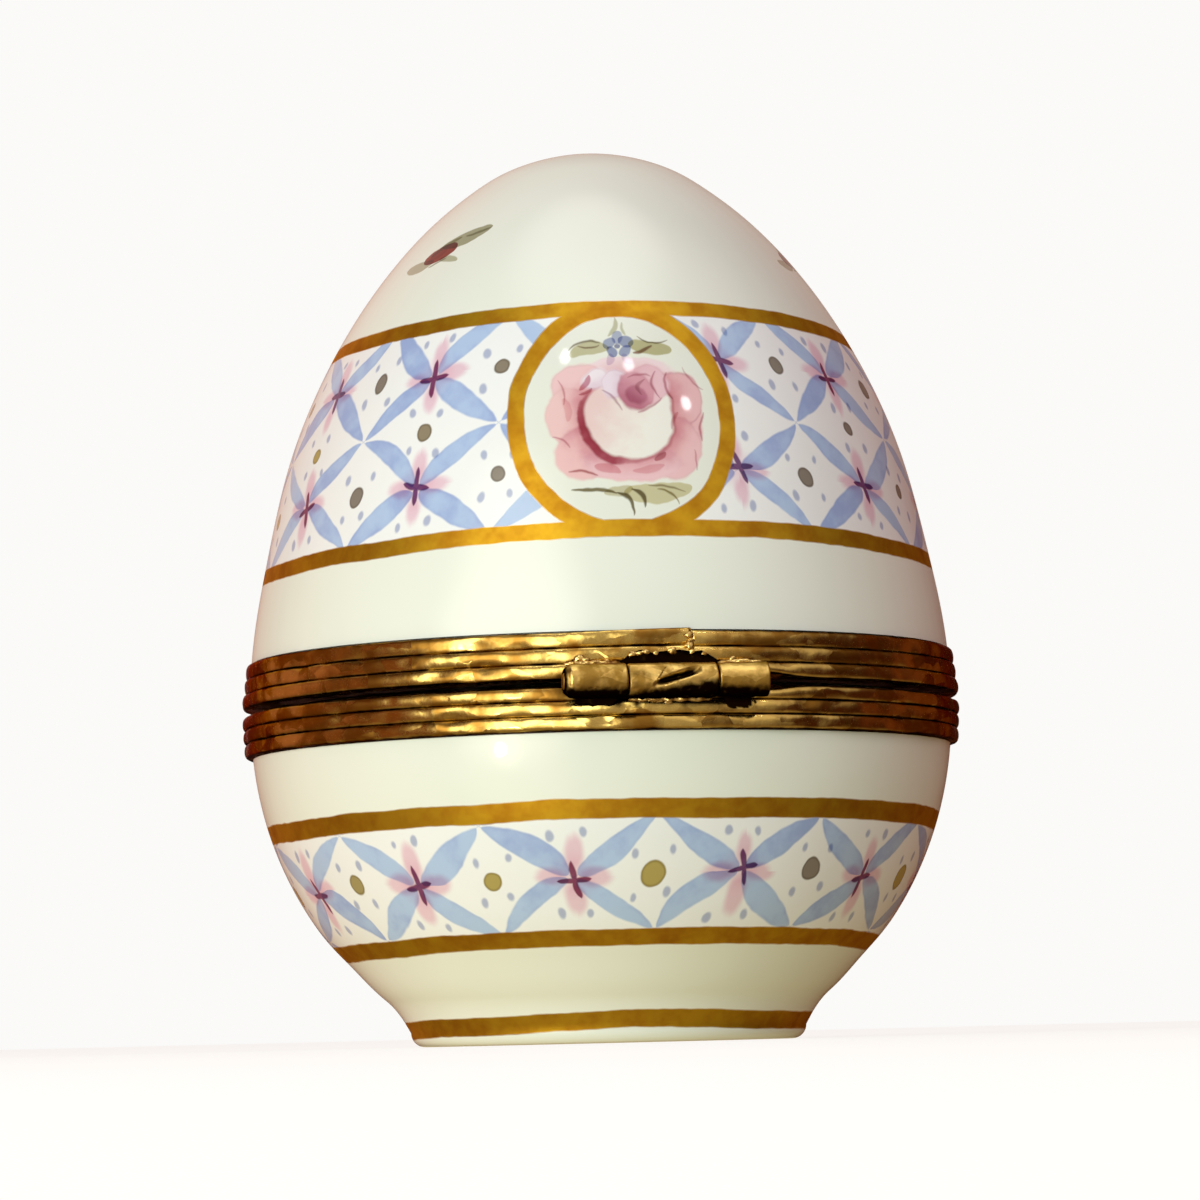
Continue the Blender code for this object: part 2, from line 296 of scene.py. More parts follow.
# The blue trellis with its pink flowers. It covers what lies below it, within the band's heights
def paintTrellis(tree, place, below, band):
    swayed = handSway(tree, place, trellisSway)
    turn, radius, z = polar(tree, swayed)
    streak = {"Vector": swayed, "Scale": 1 / brushStreak, "Detail": 3.0}
    streak = addNode(tree, "ShaderNodeTexNoise", streak).outputs[0]
    w = band | {"turn": turn, "radius": radius, "z": z, "streak": streak, "pi": math.pi,
                "perRadian": columns / (2 * math.pi), "share": 2 * math.pi / columns,
                "count": float(columns), "twice": 2.0 * columns, "last": band["middleRow"] * 2 - 0.5}

    # Flowers sit on whole columns and odd rows. x and y are mm from the nearest one
    formula(tree, "u = turn * perRadian + sway * sin(turn) + shift",
            "v = middleRow + (middleHeight - z) / rowHeight",
            "pitch = radius * share", "column = round(u)", "pair = round((v - 1) / 2)",
            "x = (u - column) * pitch", "y = (pair * 2 + 1 - v) * rowHeight", "ax = abs(x)", "ay = abs(y)",
            "wheel = column % count", "petalU = wheel * 2 + above(x, 0)", "petalV = pair * 2 + above(y, 0)",
            wires=w)
    chance(tree, w, "flower", "wheel", "pair", band["seed"])
    chance(tree, w, "petal", "petalU", "petalV", band["seed"] + 1)

    # Blue petals run from a flower to the four plain crossings about it, rounder at the flower
    formula(tree, "half = pitch / 2", "reach = sqrt(half * half + rowHeight * rowHeight)",
            "along = (ax * half + ay * rowHeight) / (reach * reach)",
            "across = (ax * rowHeight - ay * half) / reach",
            "part = min(max((along - 0.05) / 0.92, 0), 1)",
            "belly = max(sin(pi * part ** 0.78), 0) ** 0.62",
            "bent = abs(across + (petal0 - 0.5) * 0.9 * belly)",
            "blue = (petalWidth + 0.26 * petal1) * belly - bent",
            "tone = streak + (petal2 - 0.5) * 0.4 + along * 0.1 - smooth(blue, 0, 0.3) * 0.12",
            "tone = smooth(tone, 0.25, 0.75)", wires=w)

    # Pink petals lie along the row and the column, four to a flower
    formula(tree, "armX = sqrt(((ax - 1.5) / 0.95) ** 2 + (ay / 0.58) ** 2)",
            "armY = sqrt(((ay - 1.6) / 0.95) ** 2 + (ax / 0.58) ** 2)",
            "arms = (1 - min(armX, armY) - (petal2 - 0.5) * 0.5) * 0.5",
            "blush = 1.1 - sqrt(x * x + y * y)", wires=w)

    # A plum cross over each flower, two strokes that never quite stand straight
    formula(tree, "cx = x + (flower0 - 0.5) * 0.5", "cy = y + (flower1 - 0.5) * 0.5",
            "lean = (flower2 - 0.5) * 0.5", "leanUp = (flower0 - 0.62) * 0.6", "thick = 0.13 + 0.16 * streak",
            "bar = thick * (1 - abs(cx / 1.12) ** 6) - abs(cy + cx * lean)",
            "post = thick * (1 - abs(cy / 1.3) ** 6) - abs(cx - cy * leanUp)",
            "cross = max(bar, post)", wires=w)

    # Each open cell has a dot, and four small ones about it
    formula(tree, "p = round(u + v / 2)", "q = round(u - v / 2)", "cellU = (p + q) / 2", "cellV = p - q",
            "cellWheel = (cellU * 2) % twice", "inside = above(cellV, 0.5) * above(last, cellV)", wires=w)
    chance(tree, w, "cell", "cellWheel", "cellV", band["seed"] + 2)
    formula(tree, "dx = (u - cellU) * pitch + (cell0 - 0.5) * 0.6",
            "dy = (cellV - v) * rowHeight + (cell1 - 0.5) * 0.45 * inside",
            "dot = (dotRadius * (0.85 + 0.3 * cell2) - sqrt(dx * dx + dy * dy)) * inside - (1 - inside)",
            "dotEdge = 0.14 - dot", "gold = smooth(cell1 + goldDots, 0.9, 1.1)",
            "cornerU = cellWheel * 2 + above(dx, 0)", "cornerV = cellV * 2 + above(dy, 0)", wires=w)
    chance(tree, w, "corner", "cornerU", "cornerV", band["seed"] + 3)
    formula(tree, "rise = edgeDotRise + (1.35 - edgeDotRise) * inside",
            "sx = (abs(dx) - 1.15 + (corner0 - 0.5) * 0.5) / 0.25",
            "sy = (abs(dy) - rise + (corner1 - 0.5) * 0.4) / 0.33",
            "small = (1.15 - sqrt(sx * sx + sy * sy) - corner2 * 0.35) * 0.22", wires=w)

    paints = {name: paint(code) for name, code in enamel.items()}
    for name, factor, one, two in (
        ("coat", "streak", "ground", "haze"), ("blue", "tone", "blueLight", "blueDeep"),
        ("cross", "flower1", "plum", "plumWarm"), ("dot", "gold", "dotGrey", "dotOlive"),
    ):
        given = {0: w[factor], 6: paints[one], 7: paints[two]}
        paints[name] = addNode(tree, "ShaderNodeMix", blend | given).outputs[2]
    paints["dot"] = brushOn(tree, paints["dot"], w["dotEdge"], paints["dotRim"], 0.4)
    coat = paints["coat"]
    for depth, colour, strength, soft in (
        ("blush", "pink", 0.55, 0.9), ("arms", "pink", 0.75, 0.22), ("blue", "blue", 1.0, 0.09),
        ("small", "smallDot", 0.9, 0.08), ("dot", "dot", 1.0, 0.07), ("cross", "cross", 0.95, 0.07),
    ):
        coat = brushOn(tree, coat, w[depth], paints[colour], strength, soft)
    w["z"] = polar(tree, place)[2]
    zone = formula(tree, "above(z, low) * above(high, z)", wires=w)
    return addNode(tree, "ShaderNodeMix", blend | {0: zone, 6: below, 7: coat}).outputs[2]


# The oval with its rose, once at the hinge side and once opposite, in mm from its middle
cartouche = {
    "turn": math.radians(-4.46),
    "height": 42.1,
    "halfWidth": 6.75,
    "halfHeight": 7.3,
    "taper": 0.03,  # wider below
    "frame": 1.2,
    "cream": "#E9EBDC",
    "creamShade": "#E8EBE0",
    "wash": 1.5,  # the mottle of a wet wash
    "frameSway": [(5.0, 0.5), (0.9, 0.1)],
    "roseSway": [(5.0, 0.5), (1.9, 0.5), (0.8, 0.2)],  # the rose is looser than its frame
}

# The rose is laid in rounds from the back to the front. Each covers what it overlaps: x, y, half width, half
# height, tilt, light colour, deep colour, the side that is deep, and how dark its edge is
roseRounds = [
    (0.4, -0.3, 5.1, 4.3, 0, "#EAC0C0", "#E0A6AE", 90, 0.0),
    (0.3, 2.95, 3.5, 1.35, 0, "#F0DCDE", "#E6BCC6", 262, 0.1),
    (-2.9, 2.35, 1.85, 1.6, 20, "#EEC8C8", "#DA98A2", 305, 0.25),
    (3.75, 1.25, 1.8, 2.05, 12, "#E6B8BA", "#D08894", 185, 0.7),
    (-3.45, 0.1, 1.7, 2.2, 6, "#EDC6C4", "#D6949E", 10, 0.2),
    (3.5, -2.2, 1.8, 2.2, -14, "#EABEC0", "#D28E98", 135, 0.3),
    (-2.85, -2.45, 2.0, 1.8, 28, "#EDC0C0", "#D08894", 48, 0.15),
    (0.5, -3.1, 3.3, 1.4, 0, "#ECC4C8", "#D4929E", 92, 0.1),
]
pale = (0.47, 0.0, 3.02, 2.95, 0, "#EFEDE3", "#E8CCC8", 150, 0.0)
heartRounds = [
    (-1.7, 2.75, 1.0, 0.75, 15, "#F0E6EC", "#E0CAD6", 300, 0.25),
    (-0.35, 2.25, 1.05, 1.05, 0, "#EADCE6", "#DCC0CE", 330, 0.3),
    (1.75, 2.2, 1.5, 1.45, 0, "#E6BEC6", "#DCA2AE", 190, 0.25),
    (1.0, 1.8, 1.2, 1.38, 8, "#D498A6", "#B66A80", 235, 0.3),
    (1.02, 1.5, 0.6, 0.66, 20, "#B46A80", "#9E4C66", 225, 0.15),
]
fold = {  # about the pale round
    "colour": "#B2466A",
    "blush": "#E2A0AA",
    "thin": 0.2,
    "thick": 0.6,
    "turn": math.radians(212),  # the side where it is thickest
}
roundEdge = "#BC6A86"

# Lists of strokes: x, y, degrees, half length, half width, bend (mm), colour, strength
roseLines = [
    (2.15, 2.15, 96, 1.0, 0.08, -0.35, "#B4587A", 0.7),
    (2.95, 2.1, 100, 1.05, 0.1, -0.3, "#B8647E", 0.7),
    (1.3, 3.0, 5, 0.8, 0.07, -0.25, "#B8647E", 0.6),
    (1.95, 0.65, 30, 1.0, 0.09, 0.12, "#C48A9C", 0.75),
    (-0.5, 1.3, 132, 1.05, 0.08, 0.2, "#B894A4", 0.75),
    (1.25, 2.2, 70, 0.6, 0.12, -0.3, "#A85A72", 0.5),
    (2.35, -2.75, 40, 0.5, 0.22, 0.0, "#B04866", 0.7),
    (-2.35, 2.5, 62, 0.65, 0.2, 0.15, "#C05C7A", 0.75),
    (-2.35, 1.75, 28, 0.5, 0.13, 0.1, "#B8506E", 0.7),
    (-3.9, 1.9, 100, 0.9, 0.07, 0.2, "#C4788C", 0.6),
    (-4.1, -1.5, 142, 0.7, 0.08, 0.15, "#BE6E84", 0.6),
    (-2.85, -3.75, 172, 1.0, 0.08, 0.12, "#A85A5E", 0.8),
    (4.75, 2.6, 132, 1.1, 0.07, -0.3, "#BE7088", 0.6),
    (5.35, -0.6, 84, 1.0, 0.08, -0.1, "#B8687E", 0.7),
    (4.9, -2.9, 96, 0.8, 0.07, 0.1, "#C07A90", 0.6),
    (3.5, -0.3, 62, 0.7, 0.12, -0.1, "#CC7E92", 0.6),
    (-1.2, -3.55, 165, 0.9, 0.3, 0.1, "#DE9CA8", 0.6),
    (1.6, -3.7, 12, 1.1, 0.26, 0.1, "#DE9CA8", 0.5),
    (-3.7, 0.6, 96, 0.9, 0.25, 0.15, "#E4AEB4", 0.5),
]

roseLeaves = [
    (-2.05, 5.1, 10, 1.45, 0.5, -0.25, "#C6C098", 0.85),
    (-2.5, 5.55, 14, 1.15, 0.075, -0.35, "#6E6238", 0.85),
    (-2.1, 5.15, 4, 0.75, 0.07, 0.15, "#83603C", 0.8),
    (2.1, 4.95, 170, 1.45, 0.52, -0.2, "#BDB686", 0.9),
    (2.3, 5.4, 172, 1.1, 0.07, -0.3, "#6E6238", 0.85),
    (1.7, 4.75, 24, 0.65, 0.13, 0.15, "#84502E", 0.85),
    (-0.15, 6.55, 70, 0.7, 0.17, 0.25, "#BDBB9C", 0.8),
    (0.35, 6.4, 105, 0.5, 0.1, -0.1, "#B6B494", 0.7),
    (-2.2, -4.95, 173, 1.55, 0.13, 0.25, "#6B5C22", 0.9),
    (2.1, -5.35, 6, 2.3, 0.72, 0.25, "#D2C89C", 0.85),
    (0.2, -5.75, 128, 0.95, 0.14, 0.5, "#5E5014", 0.9),
    (1.05, -5.5, 128, 0.75, 0.15, 0.4, "#5E5014", 0.9),
    (2.9, -5.35, 142, 0.95, 0.085, 0.32, "#8B7D3C", 0.85),
    (-0.6, -5.2, 4, 1.0, 0.35, 0.0, "#B6A766", 0.6),
    (2.6, -4.85, 172, 1.3, 0.08, 0.15, "#7A6A30", 0.7),
]

blueBloom = [
    (-0.6, 5.45, 30, 0.52, 0.38, 0.0, "#98A4CE", 0.9),
    (0.55, 5.5, 150, 0.52, 0.38, 0.0, "#8C99C8", 0.9),
    (-0.4, 4.75, 120, 0.52, 0.36, 0.0, "#8592C6", 0.9),
    (0.5, 4.8, 60, 0.52, 0.36, 0.0, "#929ECE", 0.9),
    (0.0, 5.85, 90, 0.48, 0.36, 0.0, "#A8B2D8", 0.9),
    (0.0, 5.2, 0, 0.2, 0.18, 0.0, "#5A64A0", 0.8),
    (-0.5, 4.1, 80, 0.5, 0.3, 0.1, "#DACDE4", 0.8),
    (0.55, 4.1, 110, 0.5, 0.26, 0.0, "#DCD0E6", 0.7),
]

crownSprig = [  # a red bud between two leaves, in mm from its middle
    (0.0, 0.0, 20, 1.45, 0.85, 0.0, "#8E1A04", 0.97),
    (-0.2, -0.1, 30, 0.8, 0.4, 0.0, "#C0442A", 0.4),
    (1.7, 1.15, 18, 2.0, 0.72, 0.2, "#948E66", 0.85),
    (2.6, 1.5, 14, 1.0, 0.15, 0.1, "#8E8A6A", 0.7),
    (0.1, 0.8, 34, 1.3, 0.26, -0.2, "#AEAA88", 0.85),
    (-1.6, -1.05, 8, 1.4, 0.6, 0.2, "#B4A68E", 0.85),
    (1.3, -0.75, 165, 1.0, 0.33, 0.15, "#B2AE90", 0.85),
    (0.3, -0.95, 25, 0.8, 0.11, 0.0, "#8A8666", 0.75),
]
sprigs = {
    "count": 3,
    "turn": math.radians(-56.0),
    "height": 56.05,
    "slope": 1.35,  # mm along the crown for each mm of height
    "sway": [(3.0, 0.4), (0.7, 0.12)],
}


def paintStrokes(tree, x, y, below, strokes):
    for *shape, colour, strength in strokes:
        below = brushOn(tree, below, dab(tree, x, y, *shape), paint(colour), strength)
    return below


# A round of paint covers what it overlaps, deeper on one side and with a thin edge
def paintRound(tree, x, y, below, given, wash):
    cx, cy, rx, ry, tilt, light, deep, deepSide, edge = given
    tilt, deepSide = math.radians(tilt), math.radians(deepSide - tilt)
    w = {"x": x, "y": y, "wash": wash, "cx": cx, "cy": cy, "rx": rx, "ry": ry, "size": min(rx, ry),
         "c": math.cos(tilt), "s": math.sin(tilt), "deepC": math.cos(deepSide), "deepS": math.sin(deepSide)}
    formula(tree, "u = ((x - cx) * c + (y - cy) * s) / rx", "v = ((y - cy) * c - (x - cx) * s) / ry",
            "depth = (1 - sqrt(u * u + v * v)) * size + (wash - 0.5) * 0.3",
            "tone = smooth(u * deepC + v * deepS + (wash - 0.5) * 1.6, -0.6, 0.95)",
            "mask = smooth(depth, -0.14, 0.16)", wires=w)
    colour = {0: w["tone"], 6: paint(light), 7: paint(deep)}
    colour = addNode(tree, "ShaderNodeMix", blend | colour).outputs[2]
    if edge:
        rim = formula(tree, "0.16 * wash - 0.05 - abs(depth - 0.05)", wires=w)
        colour = brushOn(tree, colour, rim, paint(roundEdge), edge, 0.12)
    return addNode(tree, "ShaderNodeMix", blend | {0: w["mask"], 6: below, 7: colour}).outputs[2]


# How far a point lies sideways of a picture's middle, and its height, in mm. The picture comes again after
# every two halves
def besideMiddle(tree, place, sways, middle, half):
    turn, radius, z = polar(tree, handSway(tree, place, sways))
    w = {"turn": turn, "radius": radius, "middle": middle, "half": half, "low": -half}
    return formula(tree, "wrap(turn - middle, half, low) * radius", wires=w), z


# Returns the colour, and how far a point is outside the oval's opening, in mm
def paintCartouche(tree, place, below):
    x, z = besideMiddle(tree, place, cartouche["frameSway"], cartouche["turn"], math.pi / 2)
    outside = formula(tree, "y = z - height",
                      "oval = sqrt((x / (halfWidth - taper * y)) ** 2 + (y / halfHeight) ** 2)",
                      "(oval - 1) * halfWidth", wires=cartouche | {"x": x, "z": z})
    x, z = besideMiddle(tree, place, cartouche["roseSway"], cartouche["turn"], math.pi / 2)
    wash = {"Vector": place, "Scale": 1 / cartouche["wash"], "Detail": 4.0}
    wash = addNode(tree, "ShaderNodeTexNoise", wash).outputs[0]
    coat = {0: wash, 6: paint(cartouche["cream"]), 7: paint(cartouche["creamShade"])}
    coat = addNode(tree, "ShaderNodeMix", blend | coat).outputs[2]
    w = cartouche | fold | {"x": x, "z": z, "wash": wash, "paleX": pale[0], "paleY": pale[1], "size": pale[2],
                            "c": math.cos(fold["turn"]), "s": math.sin(fold["turn"])}
    y = formula(tree, "y = z - height", wires=w)
    for petal in roseRounds:
        coat = paintRound(tree, x, y, coat, petal, wash)

    # Crimson lies in the fold about the big pale petal, thickest at its lower left
    formula(tree, "px = x - paleX", "py = y - paleY", "away = sqrt(px * px + py * py)",
            "side = (px * c + py * s) / away", "lower = smooth(side + (wash - 0.5) * 0.8, 0.35, 1)",
            "width = thin + (thick - thin) * lower", "blushing = smooth(away - size, 1.6, 0) * 0.45",
            "dark = smooth(size + width - away, -0.12, 0.12) * (0.45 + 0.5 * lower) * smooth(py, 2.6, 1.2)",
            wires=w)
    for mask, colour in (("blushing", "blush"), ("dark", "colour")):
        given = {"blend_type": "MULTIPLY", 0: w[mask], 6: coat, 7: paint(fold[colour])}
        coat = addNode(tree, "ShaderNodeMix", blend | given).outputs[2]
    for petal in [pale] + heartRounds:
        coat = paintRound(tree, x, y, coat, petal, wash)
    for strokes in (roseLines, roseLeaves, blueBloom):
        coat = paintStrokes(tree, x, y, coat, strokes)
    opening = formula(tree, "smooth(outside, 0.05, -0.05)", outside=outside)
    return addNode(tree, "ShaderNodeMix", blend | {0: opening, 6: below, 7: coat}).outputs[2], outside


def paintSprigs(tree, place, below):
    x, z = besideMiddle(tree, place, sprigs["sway"], sprigs["turn"], math.pi / sprigs["count"])
    y = formula(tree, "(z - height) * slope", wires=sprigs | {"z": z})
    return paintStrokes(tree, x, y, below, crownSprig)


def makePorcelain(name, lines=(), band=None, rosy=False, sprigged=False):
    made, tree, shader = newMaterial(name)
    place = placeInMm(tree)
    mottle = {"Vector": place, "Scale": 1 / glaze["mottle"], "Detail": 2.0}
    mottle = addNode(tree, "ShaderNodeTexNoise", mottle).outputs[0]
    colour = {0: mottle, 6: paint(glaze["white"]), 7: paint(glaze["shade"])}
    colour = addNode(tree, "ShaderNodeMix", blend | colour).outputs[2]
    w = gilding | {"mottle": mottle, "glazed": glaze["roughness"] - 0.015}
    formula(tree, "rough = glazed + mottle * 0.03", wires=w)
    if sprigged:
        colour = paintSprigs(tree, place, colour)
    if band:
        colour = paintTrellis(tree, place, colour, band)
    if lines:
        w["z"] = polar(tree, handSway(tree, place, goldSway))[2]
        w["inGold"] = -9.0  # mm inside a line, so far none
        for line in lines:
            w["middle"], w["half"] = goldLines[line]
            formula(tree, "inGold = max(inGold, half - abs(z - middle))", wires=w)
        if rosy:
            colour, w["outside"] = paintCartouche(tree, place, colour)
            w.update(low=goldLines["upper"][0], high=goldLines["crown"][0], half=cartouche["frame"] / 2)
            formula(tree, "ring = min(half - abs(outside - half), min(z - low, high - z))",
                    "inGold = max(inGold, ring)", wires=w)
        thinness = {"Vector": place, "Scale": 1 / gilding["mottle"], "Detail": 3.0, "Roughness": 0.6}
        w["thinness"] = addNode(tree, "ShaderNodeTexNoise", thinness).outputs[0]
        formula(tree, "gold = smooth(inGold, -lip, lip)", "worn = smooth(thinness, 0.25, 0.7)",
                "rough = rough + (roughness + (1 - worn) * 0.08 - rough) * gold", "metal = gold * metallic",
                wires=w)
        goldMix = {0: w["worn"], 6: paint(gilding["thin"]), 7: paint(gilding["bright"])}
        goldMix = addNode(tree, "ShaderNodeMix", blend | goldMix).outputs[2]
        colour = addNode(tree, "ShaderNodeMix", blend | {0: w["gold"], 6: colour, 7: goldMix}).outputs[2]
        tint = {0: w["gold"], 6: (1.0, 1.0, 1.0, 1.0), 7: paint(gilding["edge"])}
        tint = addNode(tree, "ShaderNodeMix", blend | tint).outputs[2]
        setNode(tree, shader, {"Metallic": w["metal"], "Specular Tint": tint})
    ripple = {"Vector": place, "Scale": 1 / glaze["ripple"], "Detail": 1.0}
    ripple = addNode(tree, "ShaderNodeTexNoise", ripple).outputs[0]
    bump = {"Strength": 0.15, "Distance": glaze["rippleDepth"] * mm, "Height": ripple}
    bump = addNode(tree, "ShaderNodeBump", bump).outputs[0]
    setNode(tree, shader, {"Base Color": colour, "Roughness": w["rough"], "IOR": glaze["ior"],
                           "Normal": bump})
    return made


# Unglazed porcelain, wiped clean before firing: dull and a touch grey
unglazed = {"light": "#E4E0D2", "grey": "#CFC8B6", "grain": 0.4, "grainDepth": 0.03, "roughness": 0.75}  # mm


def makeBiscuit():
    made, tree, shader = newMaterial("biscuitPorcelain")
    speck = {"Vector": placeInMm(tree), "Scale": 1 / unglazed["grain"], "Detail": 4.0}
    speck = addNode(tree, "ShaderNodeTexNoise", speck).outputs[0]
    colour = {0: speck, 6: paint(unglazed["light"]), 7: paint(unglazed["grey"])}
    colour = addNode(tree, "ShaderNodeMix", blend | colour).outputs[2]
    bump = {"Strength": 0.3, "Distance": unglazed["grainDepth"] * mm, "Height": speck}
    bump = addNode(tree, "ShaderNodeBump", bump).outputs[0]
    setNode(tree, shader, {"Base Color": colour, "Roughness": unglazed["roughness"], "Normal": bump})
    return made


# Yellow brass, rolled into reeds and polished: bright crests, brown tarnish in the hollows. Its dark colour
# also paints shade about the hinge
mountBrass = {
    "name": "rolledBrass", "bright": "#E4CA78", "dull": "#A27A34", "tarnishAndShadeColour": "#1C0E04", "edge": "#8C3412",
    "roughness": 0.17, "dullRoughness": 0.34,
    "patch": 2.6, "hammer": 0.8, "bump": 0.5, "facet": 1.3, "tilt": 0.17,
}
# The hinge's brass was filed and handled, so it is matt and greyer. Its dark colour paints shade on the
# knuckles' undersides and in their sunk parts
hingeBrass = {
    "name": "filedBrass", "bright": "#E6C878", "dull": "#A4843E", "tarnishAndShadeColour": "#140903", "edge": "#7A4A20",
    "roughness": 0.3, "dullRoughness": 0.5,
    "patch": 1.4, "hammer": 0.45, "bump": 0.7, "facet": 0.8, "tilt": 0.12,
}
# Soft solder and gilding run over the joint: lumpy and bright
solderBrass = {
    "name": "giltSolder", "bright": "#E8CC84", "dull": "#94703A", "tarnishAndShadeColour": "#2E1C0A", "edge": "#8A4A20",
    "roughness": 0.22, "dullRoughness": 0.45,
    "patch": 0.8, "hammer": 0.35, "bump": 0.8, "facet": 0.5, "tilt": 0.2,
}
hammerDepth = 0.06  # mm


def makeBrass(look):
    made, tree, shader = newMaterial(look["name"])
    place = placeInMm(tree)
    w = look | {"hollow": addNode(tree, "ShaderNodeAttribute", {"attribute_name": "hollow"}).outputs["Fac"]}
    for pattern, detail in (("patch", 4.0), ("hammer", 2.0)):
        given = {"Vector": place, "Scale": 1 / look[pattern], "Detail": detail}
        w[pattern] = addNode(tree, "ShaderNodeTexNoise", given).outputs[0]
    # Planishing left small flats, each at its own slant, so highlights break at their edges
    sides = {"operation": "MULTIPLY", 0: handSway(tree, place, [(0.6, 0.35)]), 1: (0.6, 0.6, 1.1)}
    sides = addNode(tree, "ShaderNodeVectorMath", sides).outputs[0]
    flat = {"Vector": sides, "Scale": 1 / look["facet"]}
    flat = addNode(tree, "ShaderNodeTexVoronoi", flat).outputs["Color"]
    w["own"] = addNode(tree, "ShaderNodeSeparateColor", {0: flat}).outputs[0]
    # The dark cover is tarnish in the reeds' hollows and painted shade about the hinge, both read from the
    # attribute, with a little random tarnish from the hammer noise
    formula(tree, "dullness = smooth(patch + (own - 0.5) * 0.16, 0.4, 0.64)",
            "grime = smooth(hollow + (hammer - 0.5) * 0.7, 0.25, 0.95)",
            "rough = roughness + (dullRoughness - roughness) * max(dullness, grime)", wires=w)
    colour = paint(look["bright"])
    # Dull patches first, then the dark cover of tarnish and painted shade
    for cover, over in (("dullness", "dull"), ("grime", "tarnishAndShadeColour")):
        colour = {0: w[cover], 6: colour, 7: paint(look[over])}
        colour = addNode(tree, "ShaderNodeMix", blend | colour).outputs[2]
    bump = {"Strength": look["bump"], "Distance": hammerDepth * mm, "Height": w["hammer"]}
    bump = addNode(tree, "ShaderNodeBump", bump).outputs[0]
    slant = {"operation": "SUBTRACT", 0: flat, 1: (0.5, 0.5, 0.5)}
    slant = addNode(tree, "ShaderNodeVectorMath", slant).outputs[0]
    slant = {"operation": "MULTIPLY_ADD", 0: slant, 1: (look["tilt"],) * 3, 2: bump}
    slant = addNode(tree, "ShaderNodeVectorMath", slant).outputs[0]
    slant = addNode(tree, "ShaderNodeVectorMath", {"operation": "NORMALIZE", 0: slant}).outputs[0]
    # Tarnish reddens brass at a low angle
    setNode(tree, shader, {"Base Color": colour, "Roughness": w["rough"], "Metallic": 1.0,
                           "Specular Tint": paint(look["edge"]), "Normal": slant})
    return made


plainGlaze = makePorcelain("glazedPorcelain")
crownGlaze = makePorcelain("glazedPorcelainSprigs", sprigged=True)
upperGlaze = makePorcelain("glazedPorcelainUpperTrellis", ("crown", "upper"), upperBand)
roseGlaze = makePorcelain("glazedPorcelainRose", ("crown", "upper"), upperBand, rosy=True)
lowerGlaze = makePorcelain("glazedPorcelainLowerTrellis", ("lower", "bowl"), lowerBand)
footGlaze = makePorcelain("glazedPorcelainFoot", ("foot",))
biscuit = makeBiscuit()
rolledBrass = makeBrass(mountBrass)
filedBrass = makeBrass(hingeBrass)
giltSolder = makeBrass(solderBrass)
print("materials ready")


def spread(start, end, count):
    return [start + (end - start) * i / count for i in range(count + 1)]


# A mesh turned about Z from an outline of (radius, height) in mm. An outline that starts and ends on the axis
# closes by itself, and another one is closed end to start. It runs down the outside
def turnedMesh(name, outline, turns):
    points, rings, faces = [], [], []
    for r, z in outline:
        if r < 1e-6:
            rings.append([len(points)] * len(turns))
            points.append((0.0, 0.0, z))
        else:
            rings.append(list(range(len(points), len(points) + len(turns))))
            points += [(r * math.cos(t), r * math.sin(t), z) for t in turns]
    onAxis = outline[0][0] < 1e-6
    pairs = list(zip(rings, rings[1:])) + ([] if onAxis else [(rings[-1], rings[0])])
    for one, two in pairs:
        for i in range(len(turns)):
            j = (i + 1) % len(turns)
            corners = [one[i], two[i], two[j], one[j]]
            face = [c for k, c in enumerate(corners) if c != corners[k - 1]]
            if len(face) > 2:
                faces.append(face)
    mesh = bpy.data.meshes.new(name)
    mesh.from_pydata(points, [], faces)
    return mesh


def evenTurns(count):
    return [2 * math.pi * i / count for i in range(count)]


# Brass reads how much dark colour lies on each point, from 0 to 1: tarnish in the hollows between reeds, and
# painted shade in the hinge's pockets, about the barrel and on the knuckles' undersides
def setTarnishAndShade(mesh, values=None):
    hollow = mesh.attributes.new("hollow", "FLOAT", "POINT")
    if values:
        hollow.data.foreach_set("value", values)


def shapeToMesh(name, shape):
    mesh = bpy.data.meshes.new(name)
    shape.to_mesh(mesh)
    shape.free()
    return mesh


def addObject(name, data):
    made = bpy.data.objects.new(name, data)
    bpy.context.scene.collection.objects.link(made)
    return made


# The mesh as its modifiers leave it. The object itself goes
def applied(body):
    graph = bpy.context.evaluated_depsgraph_get()
    made = bpy.data.meshes.new_from_object(body.evaluated_get(graph))
    bpy.data.objects.remove(body)
    return made


# Scales the mesh from mm, shades it and puts it on its body in place of the CAD nodes
def placePiece(name, mesh, body, nodes, materials, sharp=35):
    mesh.transform(Matrix.Scale(mm, 4))
    mesh.validate()
    for made in materials:
        mesh.materials.append(made)
    mesh.shade_smooth()
    mesh.set_sharp_from_angle(angle=math.radians(sharp))
    piece = addObject(name, mesh)
    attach(piece, body)
    if nodes:
        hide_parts(*nodes)
    print(name, len(mesh.polygons), "faces")


# The cast egg is slimmer here and there than a pure curve, as the photo's outline shows
swells = [(35.0, 6.0, -0.3), (62.6, 1.3, 0.25), (5.6, 1.6, -0.2)]  # height, reach and push in mm


def swell(r, z):
    pushed = sum(push * math.exp(-(((z - at) / reach) ** 2)) for at, reach, push in swells)
    return r + pushed * min(1, r / 2.5)  # none on the axis


outerShell = {"radius": egg["radius"], "top": egg["top"], "depth": egg["bowlDepth"]}
innerShell = {part: length - egg["wall"] for part, length in outerShell.items()}


def crownPoint(angle, shell):
    rise = math.sin(angle)
    z = seamZ + (shell["top"] - seamZ) * rise
    return swell(shell["radius"] * math.cos(angle) * (1 - egg["crownTaper"] * rise * rise), z), z


def crownAngle(z, shell):
    return math.asin((z - seamZ) / (shell["top"] - seamZ))


